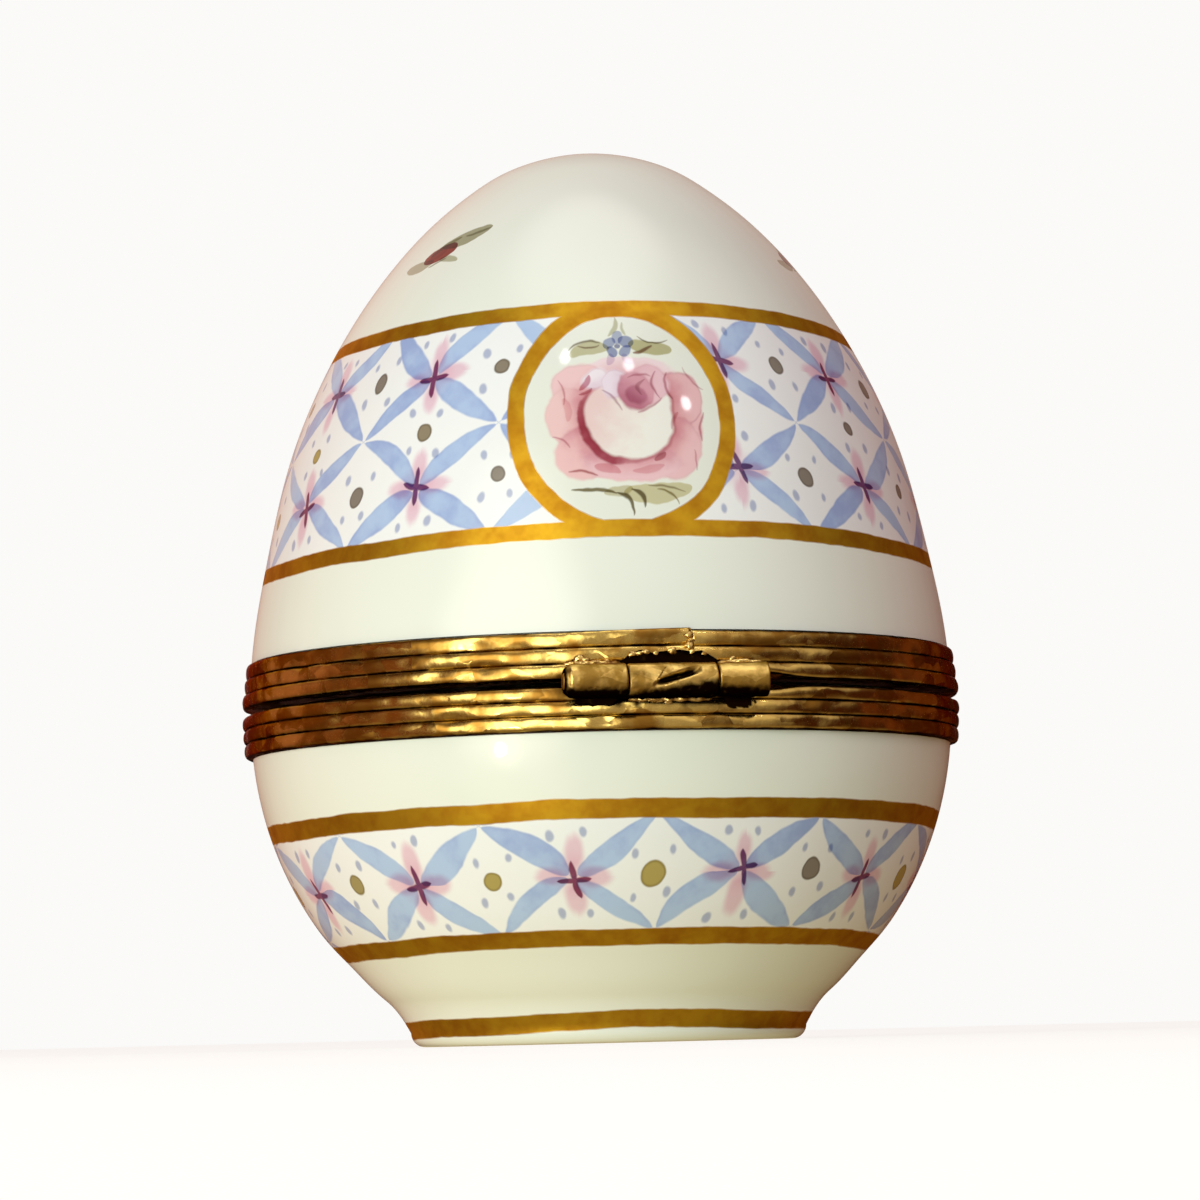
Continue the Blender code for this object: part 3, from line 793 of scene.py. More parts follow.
def bowlPoint(angle, shell):
    z = seamZ - shell["depth"] * math.sin(angle) ** (2 / egg["bowlFullness"])
    return swell(shell["radius"] * math.cos(angle), z), z


def bowlAngle(z, shell):
    return math.asin(((seamZ - z) / shell["depth"]) ** (egg["bowlFullness"] / 2))


# A bend from start to end that leans towards a corner point
def bend(start, corner, end, count):
    return [tuple((1 - t) ** 2 * a + 2 * t * (1 - t) * b + t * t * c for a, b, c in zip(start, corner, end))
            for t in spread(0, 1, count)]


def lidOutline():
    shoulder = lidMountHigh.z + egg["edgeGap"]
    rim = lidMountLow.z + egg["rimStep"]
    outside = [crownPoint(a, outerShell) for a in spread(math.pi / 2, crownAngle(shoulder, outerShell), 120)]
    inside = [crownPoint(a, innerShell) for a in spread(crownAngle(rim, innerShell), math.pi / 2, 48)]
    outside[0] = (0, outerShell["top"])
    inside[-1] = (0, innerShell["top"])
    return outside + [(egg["rebateRadius"], shoulder), (egg["rebateRadius"], rim)] + inside


def baseOutline():
    shoulder = baseMountLow.z + egg["lowTrim"] - egg["edgeGap"]
    rim = baseMountHigh.z - egg["rimStep"]
    floor, foot, rounding = egg["floorTop"], egg["footRadius"], egg["footRounding"]
    corner = bowlPoint(bowlAngle(floor, innerShell), innerShell)[0]  # where floor and wall would meet
    wallAngle = bowlAngle(floor + egg["cornerRise"], innerShell)
    floorEnd = (corner - egg["cornerReach"], floor)
    inside = [(0, floor)] + bend(floorEnd, (corner, floor), bowlPoint(wallAngle, innerShell), 10)
    inside += [bowlPoint(a, innerShell) for a in spread(wallAngle, bowlAngle(rim, innerShell), 44)][1:]
    waistAngle = bowlAngle(egg["footHeight"] + egg["waist"], outerShell)
    outside = [bowlPoint(a, outerShell) for a in spread(bowlAngle(shoulder, outerShell), waistAngle, 84)]
    kink = bowlPoint(bowlAngle(egg["footHeight"], outerShell), outerShell)
    outside += bend(outside[-1], kink, (foot + 0.25, egg["footTop"]), 10)[1:]
    outside += [(foot - rounding * (1 - math.cos(a)), rounding * (1 - math.sin(a)))
                for a in spread(0, math.pi / 2, 8)]
    recess, deep = egg["recessRadius"], egg["recessDepth"]
    under = [(recess + deep + 0.3, 0), (recess + deep, 0.06), (recess + 0.25, deep * 0.7),
             (recess - 0.3, deep), (0, deep)]
    return inside + [(egg["rebateRadius"], rim), (egg["rebateRadius"], shoulder)] + outside + under


# Cast ware is never quite round: the wall swells and sinks by a few hundredths of a mm
def softenCasting(mesh, amount=0.03):
    for vertex in mesh.vertices:
        r = math.hypot(vertex.co.x, vertex.co.y)
        if r > 1:
            k = 1 - amount * (1 + noise.noise(vertex.co / 9.0)) / r
            vertex.co.x *= k
            vertex.co.y *= k


def turnOf(point):
    return math.atan2(point.x, -point.y)


# The painted zones get their own materials, so that each one carries only its own pattern. Heights in mm
zones = {"upperLow": 32.5, "upperHigh": 50.9, "sprigsHigh": 61.5, "footHigh": 3.6, "lowerLow": 5.5,
         "lowerHigh": 16.6, "skin": 0.8}


def assignZones(mesh, pick):
    for face in mesh.polygons:
        centre = face.center
        face.material_index = pick(centre, math.hypot(centre.x, centre.y))


def lidZone(centre, r):
    skin = crownPoint(crownAngle(min(centre.z, egg["top"] - 0.01), outerShell), outerShell)[0] - zones["skin"]
    if r < skin or centre.z < zones["upperLow"]:
        return 0
    if centre.z > zones["upperHigh"]:
        return 1 if centre.z < zones["sprigsHigh"] else 0
    away = abs((turnOf(centre) - cartouche["turn"] + math.pi / 2) % math.pi - math.pi / 2)
    return 3 if away * r < cartouche["halfWidth"] + cartouche["frame"] + 0.8 else 2


def baseZone(centre, r):
    if centre.z < 0.1 and egg["recessRadius"] + 0.3 < r:
        return 3
    if centre.z < zones["footHigh"]:
        return 2 if r > egg["recessRadius"] + 1.0 else 0
    skin = bowlPoint(bowlAngle(centre.z, outerShell), outerShell)[0] - zones["skin"]
    return 1 if r >= skin and zones["lowerLow"] < centre.z < zones["lowerHigh"] else 0


lidMesh = turnedMesh("lidPorcelain", lidOutline(), evenTurns(egg["steps"]))
softenCasting(lidMesh)
assignZones(lidMesh, lidZone)
placePiece("lidPorcelain", lidMesh, "lid", ["lid_porcelain"],
           [plainGlaze, crownGlaze, upperGlaze, roseGlaze])
baseMesh = turnedMesh("basePorcelain", baseOutline(), evenTurns(egg["steps"]))
softenCasting(baseMesh)
assignZones(baseMesh, baseZone)
placePiece("basePorcelain", baseMesh, "base", ["base_porcelain"],
           [plainGlaze, lowerGlaze, footGlaze, biscuit])
print("porcelain turned")


mount = {  # mm
    "height": lidMountHigh.z - lidMountLow.z,
    "crest": lidMountHigh.x,
    "inside": lidMountHigh.x - 1.5,
    "bore": egg["radius"] - egg["wall"],
    "lowHeight": lidMountHigh.z - lidMountLow.z - egg["lowTrim"],
    "taper": 0.3,  # how much the crests step in, from the seam outwards
    "lowTaper": 0.1,
    "reeds": 3,
    "reedDepth": 0.27,
    "flange": 0.5,
    "steps": 720,
    "dents": 46,
    "dentTurn": (-12, 45),  # middle and spread, in degrees from the hinge
    "dentDepth": (0.05, 0.16),
    "dentSize": (0.35, 0.9),
    "lift": 0.2,  # the strip's end stands up by the joint
    "liftLength": 9,
    "flat": 0.75,  # of the rim, inside the crests
    "jointDepth": 0.12,
    "jointWidth": 0.1,
    "jointX": 1.96,  # where the lid strip's two ends meet, to the right of the hinge's middle
}


# Turns are close together near the hinge, where the photo shows the brass from nearby
def crowdedTurns(count):
    fine = 2000
    slices = [i / fine for i in range(fine)]
    weight = [1 + 3.2 * math.exp(-(((s - 0.5) * 360 / 42) ** 2)) for s in slices]
    total, running, sums = sum(weight), 0.0, []
    for w in weight:
        sums.append(running / total)
        running += w
    turns, at = [], 0
    for i in range(count):
        while at < fine - 1 and sums[at + 1] <= i / count:
            at += 1
        after = sums[at + 1] if at < fine - 1 else 1.0
        part = (i / count - sums[at]) / (after - sums[at])
        turns.append((slices[at] + part / fine) * 2 * math.pi + math.pi / 2)
    return turns


def mountOutline(rim, up, height, taper):
    pitch = height / mount["reeds"]
    section = []
    for reed in range(mount["reeds"]):
        crest = mount["crest"] - taper * (mount["reeds"] - 1 - reed) / (mount["reeds"] - 1)
        farEdge = height - reed * pitch
        for a in spread(0, math.pi, 12):
            drop = mount["reedDepth"] * (1 - max(math.sin(a), 0) ** 0.72)
            section.append((crest - drop, farEdge - pitch * (1 - math.cos(a)) / 2))
        if reed < mount["reeds"] - 1:
            section.pop()
    bore, inside, flange = mount["bore"], mount["inside"], mount["flange"]
    section += [(mount["crest"] - mount["flat"], 0), (bore + 0.1, 0), (bore, 0.1), (bore, flange),
                (inside, flange), (inside, height)]
    outline = [(r, rim + up * h) for r, h in section]
    return outline if up > 0 else outline[::-1]


# How deep in a hollow between reeds a point lies, from 0 on a crest to 1
def reedHollow(height, whole):
    pitch = whole / mount["reeds"]
    return (1 - math.sin(math.pi * ((height / pitch) % 1.0))) ** 2.5


# The seam opens a little, most just to the right of the barrel
def seamGap(point):
    gap = 0.09 + 0.05 * noise.noise(point / 3.1)
    if point.y < 0 and point.x > 0:
        gap += 0.3 * math.exp(-((point.x - rightHigh.x - 0.4) / 1.9) ** 2)
    return gap


pocketBack = hingeY + 1.35
# The reach of the painted shade about the hinge
grime = {  # about the hinge, in mm
    "sides": rightHigh.x + 0.5,
    "core": 1.3,  # all dark as near to the axis as this
    "fadesUp": 0.3,
    "fadesDown": 0.7,
    "backSides": 6.05,  # half the width of the pockets' back walls
}


# Painted shade fills the pockets cut for the barrel and lies about it, more below it
def hingePaintedShade(point):
    if point.y > 0 or abs(point.x) > grime["sides"]:
        return 0.0
    away = math.hypot(point.y - hingeY, point.z - seamZ) - grime["core"]
    inside = (mount["crest"] - math.hypot(point.x, point.y) - 0.45) * 3 if away < 1.4 else 0
    # The pockets' back walls are painted fully dark, as shade
    if abs(point.y - pocketBack) < 0.05 and abs(point.x) < grime["backSides"] and away < 1.0:
        inside = 1.0
    fades = grime["fadesUp"] if point.z > seamZ else grime["fadesDown"]
    patchy = 0.5 * noise.noise(point / 0.7)
    return min(1.0, max(inside, 1.1 - max(0.0, away) / fades + patchy, 0.0))


# Handling has dented the reeds, opened the seam a little and lifted the strip's end at its joint
def dentMount(mesh, rim, up, height, seed):
    draw = random.Random(seed)
    dents = []
    for _ in range(mount["dents"]):
        turn = math.radians(draw.gauss(*mount["dentTurn"]))
        high = draw.uniform(0.2, height - 0.2)
        dents.append((turn, high, draw.uniform(*mount["dentDepth"]), draw.uniform(*mount["dentSize"])))
    hollows = []
    for vertex in mesh.vertices:
        r = math.hypot(vertex.co.x, vertex.co.y)
        above = (vertex.co.z - rim) * up
        if r < mount["crest"] - mount["reedDepth"] - mount["taper"] - 0.1:
            hollows.append(0.0)
            continue
        turn = turnOf(vertex.co)
        push = 0.045 + 0.03 * noise.noise(vertex.co / 2.6) + 0.022 * noise.noise(vertex.co / 0.9)
        for at, high, depth, size in dents:
            away = ((turn - at) * r / size) ** 2 / 2.2 + ((above - high) / size) ** 2 * 1.6
            if away < 6:
                push += depth * math.exp(-away)
        if up > 0:
            fromJoint = vertex.co.x - mount["jointX"] if vertex.co.y < 0 else 99
            push += mount["jointDepth"] * math.exp(-((fromJoint / mount["jointWidth"]) ** 2))
            if -mount["liftLength"] < fromJoint < 0:
                vertex.co.z += mount["lift"] * (above / height) ** 2 * (1 + fromJoint / mount["liftLength"])
        vertex.co.x *= 1 - push / r
        vertex.co.y *= 1 - push / r
        vertex.co.z += up * seamGap(vertex.co) * max(0.0, 1 - above / 0.9)
        hollow = reedHollow(min(max(above, 0.0), height), height)
        hollows.append(hollow * (0.85 + 0.5 * noise.noise(vertex.co / 1.7)))
    setTarnishAndShade(mesh, hollows)


# Turns a shape that stands on the origin to lie along the hinge, from x to the right
def layAlongHinge(mesh, x):
    mesh.transform(Matrix.Translation((x, hingeY, seamZ)) @ Matrix.Rotation(math.pi / 2, 4, "Y"))
    return mesh


# Cutters for the hinge: the round seat of the barrel, and rough pockets where a knuckle meets the other mount
seat = {"radius": 1.26, "end": 0.1, "steps": 96}  # mm
pockets = {  # low and high end, up or down, and how far the cut reaches from the seam
    "middlePocket": (middleLow.x - 0.35, middleHigh.x + 0.3, 1, 2.02),
    "leftPocket": (leftLow.x - 0.05, leftHigh.x + 0.05, -1, 1.5),
    "rightPocket": (rightLow.x + 0.6, rightHigh.x - 0.3, -1, 1.85),
}


def seatCutter():
    half = (rightHigh.x - leftLow.x) / 2 + seat["end"]
    outline = [(0, half), (seat["radius"], half), (seat["radius"], -half), (0, -half)]
    mesh = turnedMesh("seatCutter", outline, evenTurns(seat["steps"]))
    return addObject("seatCutter", layAlongHinge(mesh, 0))


def pocketCutter(name):
    low, high, up, reach = pockets[name]
    start = (low, hingeY - 1.8, seamZ - up * 0.2)
    end = (high, pocketBack, seamZ + up * reach)
    shape = bmesh.new()
    bmesh.ops.create_cube(shape, size=1)
    bmesh.ops.subdivide_edges(shape, edges=shape.edges[:], cuts=11, use_grid_fill=True)
    for vertex in shape.verts:
        x, _, z = vertex.co
        place = Vector([a + (b - a) * (c + 0.5) for a, b, c in zip(start, end, vertex.co)])
        ragged = 0.3 * noise.noise(place / 0.55) - 0.7 * (2 * x) ** 6
        place.z += up * ragged * (z + 0.5)
        vertex.co = place
    if up < 0:
        bmesh.ops.reverse_faces(shape, faces=shape.faces[:])
    return addObject(name, shapeToMesh(name, shape))


# The flange lies at the seam, and up is 1 for the lid's mount and -1 for the base's
def makeMount(name, body, node, seam, up, height, taper, seed, pocketNames):
    mesh = turnedMesh(name, mountOutline(seam, up, height, taper), mountTurns)
    dentMount(mesh, seam, up, height, seed)
    whole = addObject("whole", mesh)
    cutters = [seatCutter()] + [pocketCutter(pocket) for pocket in pocketNames]
    for cutter in cutters:
        step = whole.modifiers.new(cutter.name, "BOOLEAN")
        step.operation = "DIFFERENCE"
        step.object = cutter
    mesh = applied(whole)
    for cutter in cutters:
        bpy.data.objects.remove(cutter)
    # Painted shade about the hinge is added to the tarnish between the reeds
    for vertex, value in zip(mesh.vertices, mesh.attributes["hollow"].data):
        value.value = max(value.value, hingePaintedShade(vertex.co))
    placePiece(name, mesh, body, [node], [rolledBrass], 50)


mountTurns = crowdedTurns(mount["steps"])
makeMount("lidMount", "lid", "lid_mount", lidMountLow.z, 1, mount["height"], mount["taper"], 5,
          ["middlePocket"])
makeMount("baseMount", "base", "base_mount", baseMountHigh.z, -1, mount["lowHeight"], mount["lowTaper"], 8,
          ["leftPocket", "rightPocket"])
print("mounts dented and cut")


knuckle = {  # mm
    "radius": (leftHigh.z - leftLow.z) / 2,
    "bore": 0.62,
    "ease": 0.14,  # rounding of its ends
    "slice": 0.09,
    "steps": 96,
}
# The middle tube's open seam runs aslant over the front, in degrees, mm and shares of its length
middleSeam = {
    "start": -46,
    "turns": 106,
    "width": 0.16,
    "widens": 0.22,
    "depth": 0.56,
    "from": 0.26,
    "to": 0.82,
    "facet": 0.98,  # mm from the axis to the flat filed above it
    "facetTurn": 24,
}


# A rolled tube laid along the hinge. shape(along, around, place) gives each point's own radius. Painted shade
# covers what lies below an edge, given in mm from the axis at the left and right end, and darkens the points
# that are sunk below the tube's round
def makeKnuckle(name, low, high, body, node, shape, paintedShadeEdge):
    length = high - low
    radius, bore, ease = knuckle["radius"], knuckle["bore"], knuckle["ease"]
    outline = [(bore, length), (radius - ease, length)]
    outline += [(radius - ease * (1 - math.sin(a)), length - ease * (1 - math.cos(a)))
                for a in spread(0, math.pi / 2, 4)][1:]
    outline += [(radius, z) for z in spread(length - ease, ease, int(length / knuckle["slice"]))][1:-1]
    outline += [(radius - ease * (1 - math.cos(a)), ease * (1 - math.sin(a)))
                for a in spread(0, math.pi / 2, 4)]
    outline += [(bore, 0)]
    mesh = turnedMesh(name, outline, evenTurns(knuckle["steps"]))
    for vertex in mesh.vertices:
        if math.hypot(vertex.co.x, vertex.co.y) < bore + 0.02:
            continue
        around = math.degrees(math.atan2(vertex.co.x, -vertex.co.y))
        k = shape(vertex.co.z / length, around, vertex.co) / radius
        vertex.co.x *= k
        vertex.co.y *= k
    layAlongHinge(mesh, low)
    # Painted shade: darker where the surface is sunk below the tube's round, and below the edge, as if lit
    # from above
    values = []
    for vertex in mesh.vertices:
        sunk = (radius - 0.06 - math.hypot(vertex.co.y - hingeY, vertex.co.z - seamZ)) * 3.0
        edge = paintedShadeEdge[0] + (paintedShadeEdge[1] - paintedShadeEdge[0]) * (vertex.co.x - low) / length
        values.append(min(max(sunk, (seamZ + edge - vertex.co.z) * 1.6, 0), 1))
    setTarnishAndShade(mesh, values)
    placePiece(name, mesh, body, [node], [filedBrass], 45)


# After the tube is laid down, around is 0 at the front, and up is at -90 degrees
def wornTube(along, around, place):
    worn = knuckle["radius"] - 0.03 + 0.03 * noise.noise(place / 1.1)
    scratch = 0.012 * noise.noise(Vector((place.x * 6, place.y * 6, place.z * 0.8)))
    return worn + scratch - 0.03 * math.exp(-((along - 0.08) / 0.1) ** 2)


# The left one ends in a blunt cone
def conedTube(along, around, place):
    return wornTube(along, around, place) - max(0.0, 0.1 - along) * 3.4


def rolledSheet(along, around, place):
    cut = middleSeam
    r = wornTube(along, around, place)
    away = math.radians(around + cut["start"] + cut["turns"] * along) * knuckle["radius"]
    ends = min(1, max(0, (along - cut["from"]) * 8)) * min(1, max(0, (cut["to"] - along) * 7))
    r -= cut["depth"] * math.exp(-((away / (cut["width"] + cut["widens"] * along)) ** 4)) * ends
    facet = math.cos(math.radians(around + cut["facetTurn"])) * r
    if along < 0.42 - (around + 50) / 180 * 0.4 and facet > cut["facet"]:
        r *= cut["facet"] / facet
    return r


makeKnuckle("hingeKnuckleLeft", leftLow.x, leftHigh.x, "lid", "hinge_knuckle_left", conedTube, (-0.15, -0.15))
makeKnuckle("hingeKnuckleMiddle", middleLow.x, middleHigh.x, "base", "hinge_knuckle_middle", rolledSheet,
            (-0.5, 0.35))
makeKnuckle("hingeKnuckleRight", rightLow.x, rightHigh.x, "lid", "hinge_knuckle_right", wornTube,
            (-0.05, -0.2))


pin = {"radius": 0.55, "steps": 48}  # mm


def makePin():
    length, radius = pinHigh.x - pinLow.x, pin["radius"]
    end = [(0, 0), (radius * 0.5, 0.01), (radius * 0.85, 0.05), (radius, 0.14)]  # filed round
    outline = [(r, length - z) for r, z in end] + end[::-1]
    mesh = layAlongHinge(turnedMesh("hingePin", outline, evenTurns(pin["steps"])), pinLow.x)
    placePiece("hingePin", mesh, "base", ["hinge_pin"], [filedBrass])


makePin()


# Where a bead lies from the knuckle's ends and the hinge's axis, and how finely solder is made, in mm
solder = {"inset": 0.15, "back": 0.7, "rise": 1.2, "slice": 0.07, "steps": 14, "dropDetail": 0.05}


# A bead of solder along a knuckle, lumpy and uneven, that beds it in its mount
def makeSolder(name, low, high, up, size, body, seed):
    low, high = low + solder["inset"], high - solder["inset"]
    y, z = hingeY + solder["back"], seamZ + up * solder["rise"]
    count, around = int((high - low) / solder["slice"]), solder["steps"]
    points, faces = [], []
    for i in range(count + 1):
        x = low + (high - low) * i / count
        end = math.sin(math.pi * min(max(i / count, 0.002), 0.998)) ** 0.35
        for k in range(around):
            a = 2 * math.pi * k / around
            lump = 1 + 0.5 * noise.noise(Vector((x / 0.45, k * 0.35, seed)))
            r = size * end * lump
            points.append((x, y + r * math.cos(a), z + r * 0.8 * math.sin(a)))
    for i in range(count):
        for k in range(around):
            j = (k + 1) % around
            faces.append((i * around + k, i * around + j, (i + 1) * around + j, (i + 1) * around + k))
    faces.append(tuple(range(around))[::-1])
    faces.append(tuple(count * around + k for k in range(around)))
    mesh = bpy.data.meshes.new(name)
    mesh.from_pydata(points, [], faces)
    setTarnishAndShade(mesh)
    placePiece(name, mesh, body, [], [giltSolder], 60)


# Spilt blobs of it, melted into one another
def makeBlobs(name, blobs, body):
    shape = bmesh.new()
    for x, z, size in blobs:
        y = -math.sqrt((mount["crest"] - 0.22) ** 2 - x * x)
        spot = Matrix.Translation((x, y, z)) @ Matrix.Diagonal((size * 1.5, size * 0.7, size * 0.95, 1))
        bmesh.ops.create_icosphere(shape, subdivisions=3, radius=1, matrix=spot)
    for vertex in shape.verts:
        vertex.co += Vector((0.3, 0.1, 0.3)) * 0.5 * noise.noise(vertex.co / 0.26)
    drops = addObject(name + "Raw", shapeToMesh(name, shape))
    melt = drops.modifiers.new("melt", "REMESH")
    melt.mode = "VOXEL"
    melt.voxel_size = solder["dropDetail"]
    mesh = applied(drops)
    setTarnishAndShade(mesh)
    placePiece(name, mesh, body, [], [giltSolder], 60)


makeBlobs("solderDropsLid", [  # x, z and size in mm
    (-5.6, 25.45, 0.28), (-5.15, 25.38, 0.2), (-4.4, 25.25, 0.14), (-3.85, 25.2, 0.2), (-3.4, 25.2, 0.16),
    (-2.1, 25.72, 0.2), (-1.65, 25.74, 0.17), (-1.2, 25.85, 0.2), (-0.5, 25.8, 0.14), (0.6, 25.9, 0.24),
    (1.75, 26.95, 0.2), (1.9, 26.55, 0.17), (1.72, 26.2, 0.22), (1.95, 25.85, 0.14), (2.8, 25.72, 0.15),
    (4.68, 25.34, 0.18), (5.3, 25.3, 0.13),
], "lid")
makeBlobs("solderDropsBase", [
    (-0.9, 22.6, 0.16), (-0.4, 22.58, 0.22), (0.25, 22.5, 0.22), (-1.6, 22.55, 0.15), (2.45, 22.6, 0.16),
    (1.2, 22.5, 0.14),
], "base")
makeSolder("solderLeft", leftLow.x, leftHigh.x, 1, 0.3, "lid", 2.0)
makeSolder("solderRight", rightLow.x, rightHigh.x, 1, 0.28, "lid", 5.0)
makeSolder("solderMiddle", middleLow.x, middleHigh.x, -1, 0.32, "base", 9.0)
print("hinge built")


clasp = {  # mm
    "width": thumbHigh.x - thumbLow.x,
    "height": 5.6,
    "thick": 0.8,
    "rise": 0.25,
    "beads": 26,
    "flutes": 12,
    "steps": 156,
    "soleHalf": 1.6,  # half the width of the sole that joins it to the mount
    "soleLow": 0.8,
    "soleHigh": 2.3,
}


# An oval thumbpiece with a beaded rim and a low boss, on a small sole
def makeThumbpiece():
    back = thumbHigh.y - clasp["thick"]
    outline = [(0, 0.78), (0.25, 0.77), (0.45, 0.68), (0.6, 0.56), (0.72, 0.52), (0.82, 0.56), (0.88, 0.66),
               (0.94, 0.68), (0.985, 0.6), (1.0, 0.42), (1.0, 0.2), (0.97, 0.05), (0.92, 0), (0, 0)]
    mesh = turnedMesh("claspThumbpiece", outline, evenTurns(clasp["steps"]))
    for vertex in mesh.vertices:
        x, y, depth = vertex.co
        r = math.hypot(x, y)
        around = math.atan2(y, x)
        if r > 0.85 and depth > 0.5:
            depth += 0.06 * math.cos(around * clasp["beads"])
        if r < 0.8 and depth > 0.4:
            depth += 0.03 * math.cos(around * clasp["flutes"]) * min(1, r * 2)
        depth = min(depth, clasp["thick"] - 0.01)
        vertex.co = (-x * clasp["width"] / 2, back + depth, seamZ + clasp["rise"] + y * clasp["height"] / 2)
    shape = bmesh.new()
    shape.from_mesh(mesh)
    sole = bmesh.ops.create_cube(shape, size=1)["verts"]
    soleLow = Vector((-clasp["soleHalf"], lidMountHigh.x - 0.1, seamZ + clasp["soleLow"]))
    soleHigh = Vector((clasp["soleHalf"], back + 0.3, seamZ + clasp["soleHigh"]))
    for vertex in sole:
        vertex.co = [a + (b - a) * (c + 0.5) for a, b, c in zip(soleLow, soleHigh, vertex.co)]
    edges = list({e for v in sole for e in v.link_edges})
    bmesh.ops.bevel(shape, geom=edges, offset=0.22, segments=4, affect="EDGES", profile=0.5)
    shape.to_mesh(mesh)
    shape.free()
    # The thumbpiece is darker towards its back, next to the mount
    setTarnishAndShade(mesh, [max(0.0, 0.62 - (v.co.y - back)) * 0.9 for v in mesh.vertices])
    placePiece("claspThumbpiece", mesh, "lid", ["clasp_thumbpiece"], [rolledBrass], 40)


# The small bar below, rounded where the thumbpiece springs over it
def makeCatch():
    low, high = catchLow, catchHigh
    shape = bmesh.new()
    bmesh.ops.create_cube(shape, size=1)
    bmesh.ops.subdivide_edges(shape, edges=shape.edges[:], cuts=3, use_grid_fill=True)
    for vertex in shape.verts:
        x, y, z = vertex.co
        drop = 0.12 * (2 * x) ** 2
        bulge = 1 - 0.35 * (2 * z) ** 2
        deep = (y + 0.5) * bulge
        vertex.co = (x * (high.x - low.x), low.y - 0.06 + (high.y - low.y) * deep - drop * deep,
                     (low.z + high.z) / 2 + z * (high.z - low.z))
    corners = [e for e in shape.edges if e.calc_face_angle(0) > 0.6]
    bmesh.ops.bevel(shape, geom=corners, offset=0.1, segments=3, affect="EDGES", profile=0.5)
    mesh = shapeToMesh("claspCatch", shape)
    setTarnishAndShade(mesh)
    placePiece("claspCatch", mesh, "base", ["clasp_catch"], [rolledBrass], 40)


makeThumbpiece()
makeCatch()
print("clasp built")


studio = {
    "floor": "#7C7B78",
    "floorGlow": 0.8,
    "reach": 3.0,  # m
    "sky": "#FBFAF8",
    "dusk": "#5A2C14",  # what shines back from between the glows
    "duskStrength": 0.5,
}

# Name, turn and rise (degrees), distance and size (mm), watts, colour, and whether its reflection shows
lamps = [
    ("window", -36, 12, 500, 280, 1.62, "#EBFFFE", False),
    ("deskLamp", -41, -11, 240, 16, 0.012, "#FFFFFF", True),
    ("ceilingOne", 31, 44.5, 420, 22, 0.02, "#FFFFFF", True),
    ("ceilingTwo", -24.5, 57.5, 420, 22, 0.015, "#FFFFFF", True),
    ("ceilingThree", 9.5, 55, 420, 22, 0.015, "#FFFFFF", True),
]

# Soft glows of the room: turn, rise, full and fading radius (degrees), strength, colour
lighting = [  # what lights dull surfaces
    (-60, -72, 20, 76, 0.7, "#FFEFA5"),
    (-60, -35, 15, 60, 0.55, "#FFFDFC"),
    (-75, 42, 10, 50, 0.22, "#FFFDFC"),
    (40, 50, 15, 50, 1.22, "#FFECF0"),
    (-100, 0, 15, 70, 0.25, "#FF4030"),
    (165, 30, 20, 70, 0.62, "#FFE0CC"),
    (110, 0, 15, 60, 0.16, "#FF5A30"),
]
mirrored = [  # what gloss shows
    (-38, 10, 12, 31, 3.1, "#FFF8E6"),
    (-38, -16, 2, 24, 1.0, "#FFF2D0"),
    (-41, -11, 2, 7, 2.0, "#FFF6E0"),
    (-12, 12, 15, 75, 0.4, "#FFEFD2"),
    (0, -90, 20, 78, 0.28, "#FFDFA0"),
    (-10, 84, 8, 28, 1.5, "#FFFAF4"),
    (40, 50, 15, 45, 0.5, "#FFEAD8"),
    (-95, 0, 10, 50, 0.15, "#FF9C60"),
    (-150, 10, 14, 46, 0.35, "#FFB09C"),
    (130, 5, 14, 50, 0.16, "#D87850"),
    (180, 40, 10, 45, 0.5, "#FFF0E0"),
]


# The box stands on pale matt paper. It glows a little, so it stays nearly as light as the backdrop
def makeStudio():
    floorMesh = bpy.data.meshes.new("floor")
    far = studio["reach"]
    corners = [(-far, -far, 0), (far, -far, 0), (far, far, 0), (-far, far, 0)]
    floorMesh.from_pydata(corners, [], [(0, 1, 2, 3)])
    floor = addObject("floor", floorMesh)
    made, tree, shader = newMaterial("palePaper")
    setNode(tree, shader, {"Base Color": paint(studio["floor"]), "Roughness": 0.9,
                           "Emission Color": paint(studio["sky"]), "Emission Strength": studio["floorGlow"]})
    floorMesh.materials.append(made)
    floor.visible_glossy = False
    floor.visible_diffuse = False
    makeWorld()
    for name, turn, rise, distance, size, watts, colour, reflects in lamps:
        light = bpy.data.lights.new(name, "AREA")
        light.shape = "DISK"
        light.size = size * mm
        light.energy = watts
        light.color = paint(colour)[:3]
        lamp = addObject(name, light)
        lamp.location = towards(turn, rise) * distance * mm + Vector((0, 0, seamZ * mm))
        lamp.rotation_euler = towards(turn, rise).to_track_quat("Z", "Y").to_euler()
        lamp.visible_camera = False
        lamp.visible_glossy = reflects
        lamp.visible_diffuse = not reflects


# A direction from the box, turned from the hinge side towards +X and then raised, in degrees
def towards(turn, rise):
    turn, rise = math.radians(turn), math.radians(rise)
    return Vector((math.sin(turn) * math.cos(rise), -math.cos(turn) * math.cos(rise), math.sin(rise)))


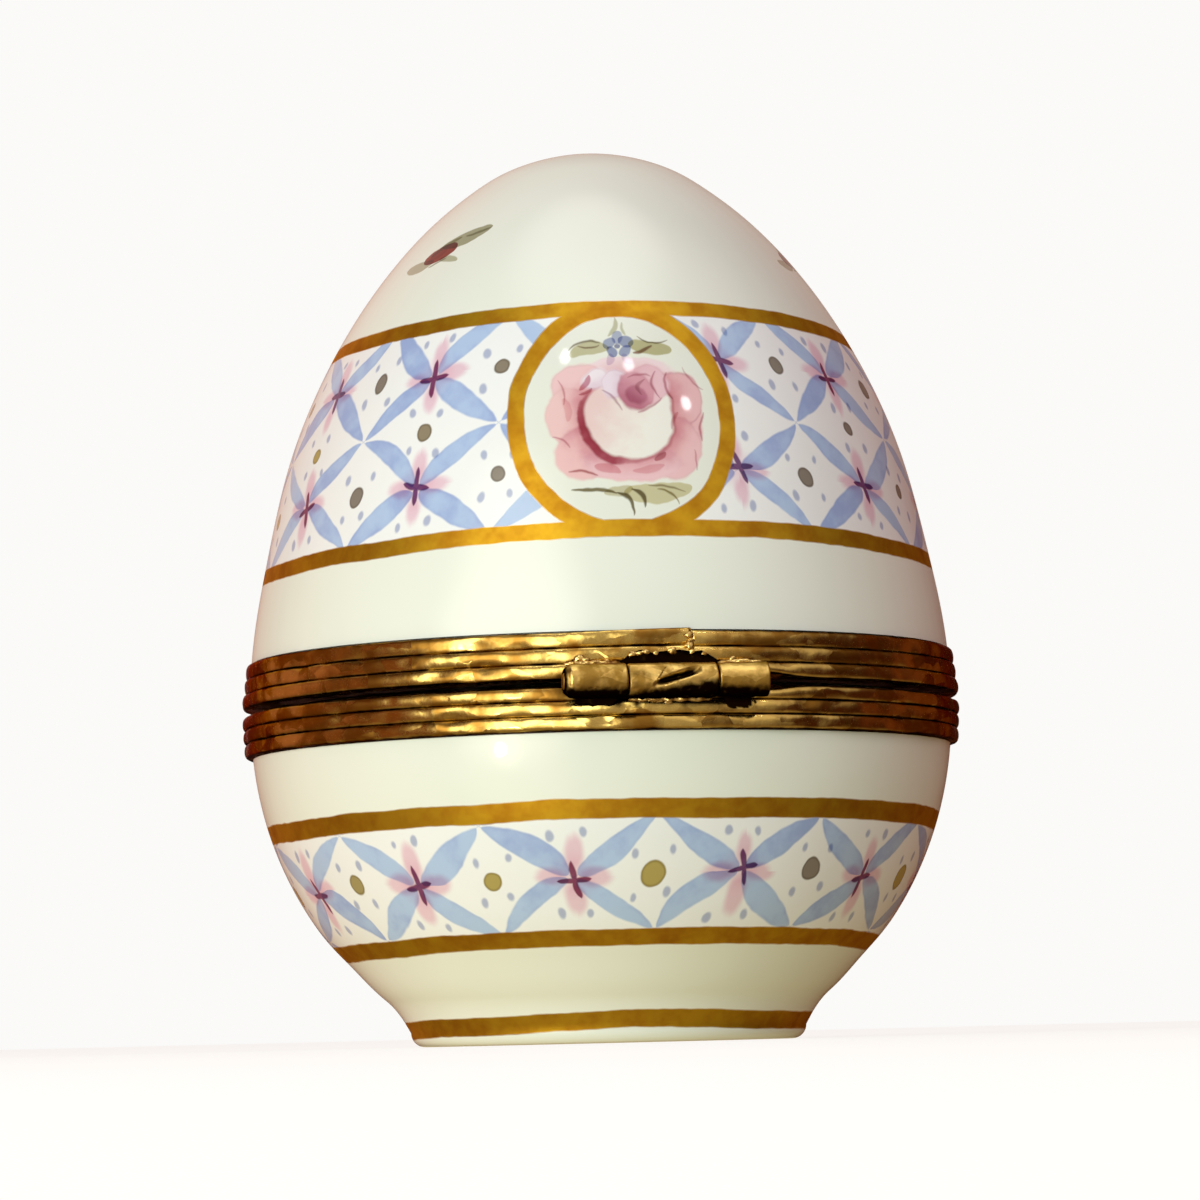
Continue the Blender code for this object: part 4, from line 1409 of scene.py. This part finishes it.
def addGlows(tree, facing, colour, glows):
    for turn, rise, full, fading, strength, tint in glows:
        near = {"operation": "DOT_PRODUCT", 0: facing, 1: towards(turn, rise)}
        near = addNode(tree, "ShaderNodeVectorMath", near).outputs["Value"]
        mask = formula(tree, "smooth(near, off, on) * strength", near=near, strength=strength,
                       off=math.cos(math.radians(fading)), on=math.cos(math.radians(full)))
        given = {"blend_type": "ADD", "clamp_factor": False, 0: mask, 6: colour, 7: paint(tint)}
        colour = addNode(tree, "ShaderNodeMix", blend | given).outputs[2]
    return colour


# The camera sees a pale backdrop, gloss mirrors a dim warm room, and dull surfaces get its soft light
def makeWorld():
    world = bpy.data.worlds.new("studio")
    world.use_nodes = True
    world.cycles.sampling_method = "NONE"
    bpy.context.scene.world = world
    tree = world.node_tree
    tree.nodes.clear()
    facing = addNode(tree, "ShaderNodeTexCoord").outputs["Generated"]
    path = addNode(tree, "ShaderNodeLightPath").outputs
    dusk = [c * studio["duskStrength"] for c in paint(studio["dusk"])]
    shade = addGlows(tree, facing, (0.0, 0.0, 0.0, 1.0), lighting)
    gloss = addGlows(tree, facing, tuple(dusk), mirrored)
    inside = addNode(tree, "ShaderNodeMix", blend | {0: path["Is Glossy Ray"], 6: shade, 7: gloss}).outputs[2]
    seen = {0: path["Is Camera Ray"], 6: inside, 7: paint(studio["sky"])}
    seen = addNode(tree, "ShaderNodeMix", blend | seen).outputs[2]
    shown = addNode(tree, "ShaderNodeBackground", {"Color": seen}).outputs[0]
    addNode(tree, "ShaderNodeOutputWorld", {"Surface": shown})


camera = {
    "turn": math.radians(-9.7),
    "distance": 345.0,  # mm from the egg's axis
    "height": 0.6,
    "pitch": math.radians(5.145),
    "roll": math.radians(-1.4),
    "aside": 0.14,
    "fieldOfView": math.radians(14.18),
}


def makeCamera():
    lens = bpy.data.cameras.new("camera")
    lens.sensor_width = 36
    lens.lens = 18 / math.tan(camera["fieldOfView"] / 2)
    lens.clip_start = 0.005
    eye = addObject("camera", lens)
    turned = Matrix.Rotation(camera["turn"], 4, "Z")
    place = turned @ Vector((camera["aside"], -camera["distance"], camera["height"])) * mm
    level = turned @ Matrix.Rotation(math.pi / 2 + camera["pitch"], 4, "X")
    eye.matrix_world = Matrix.Translation(place) @ level @ Matrix.Rotation(camera["roll"], 4, "Z")
    bpy.context.scene.camera = eye


makeStudio()
makeCamera()
bpy.context.scene.view_settings.view_transform = "Standard"
print("studio ready")
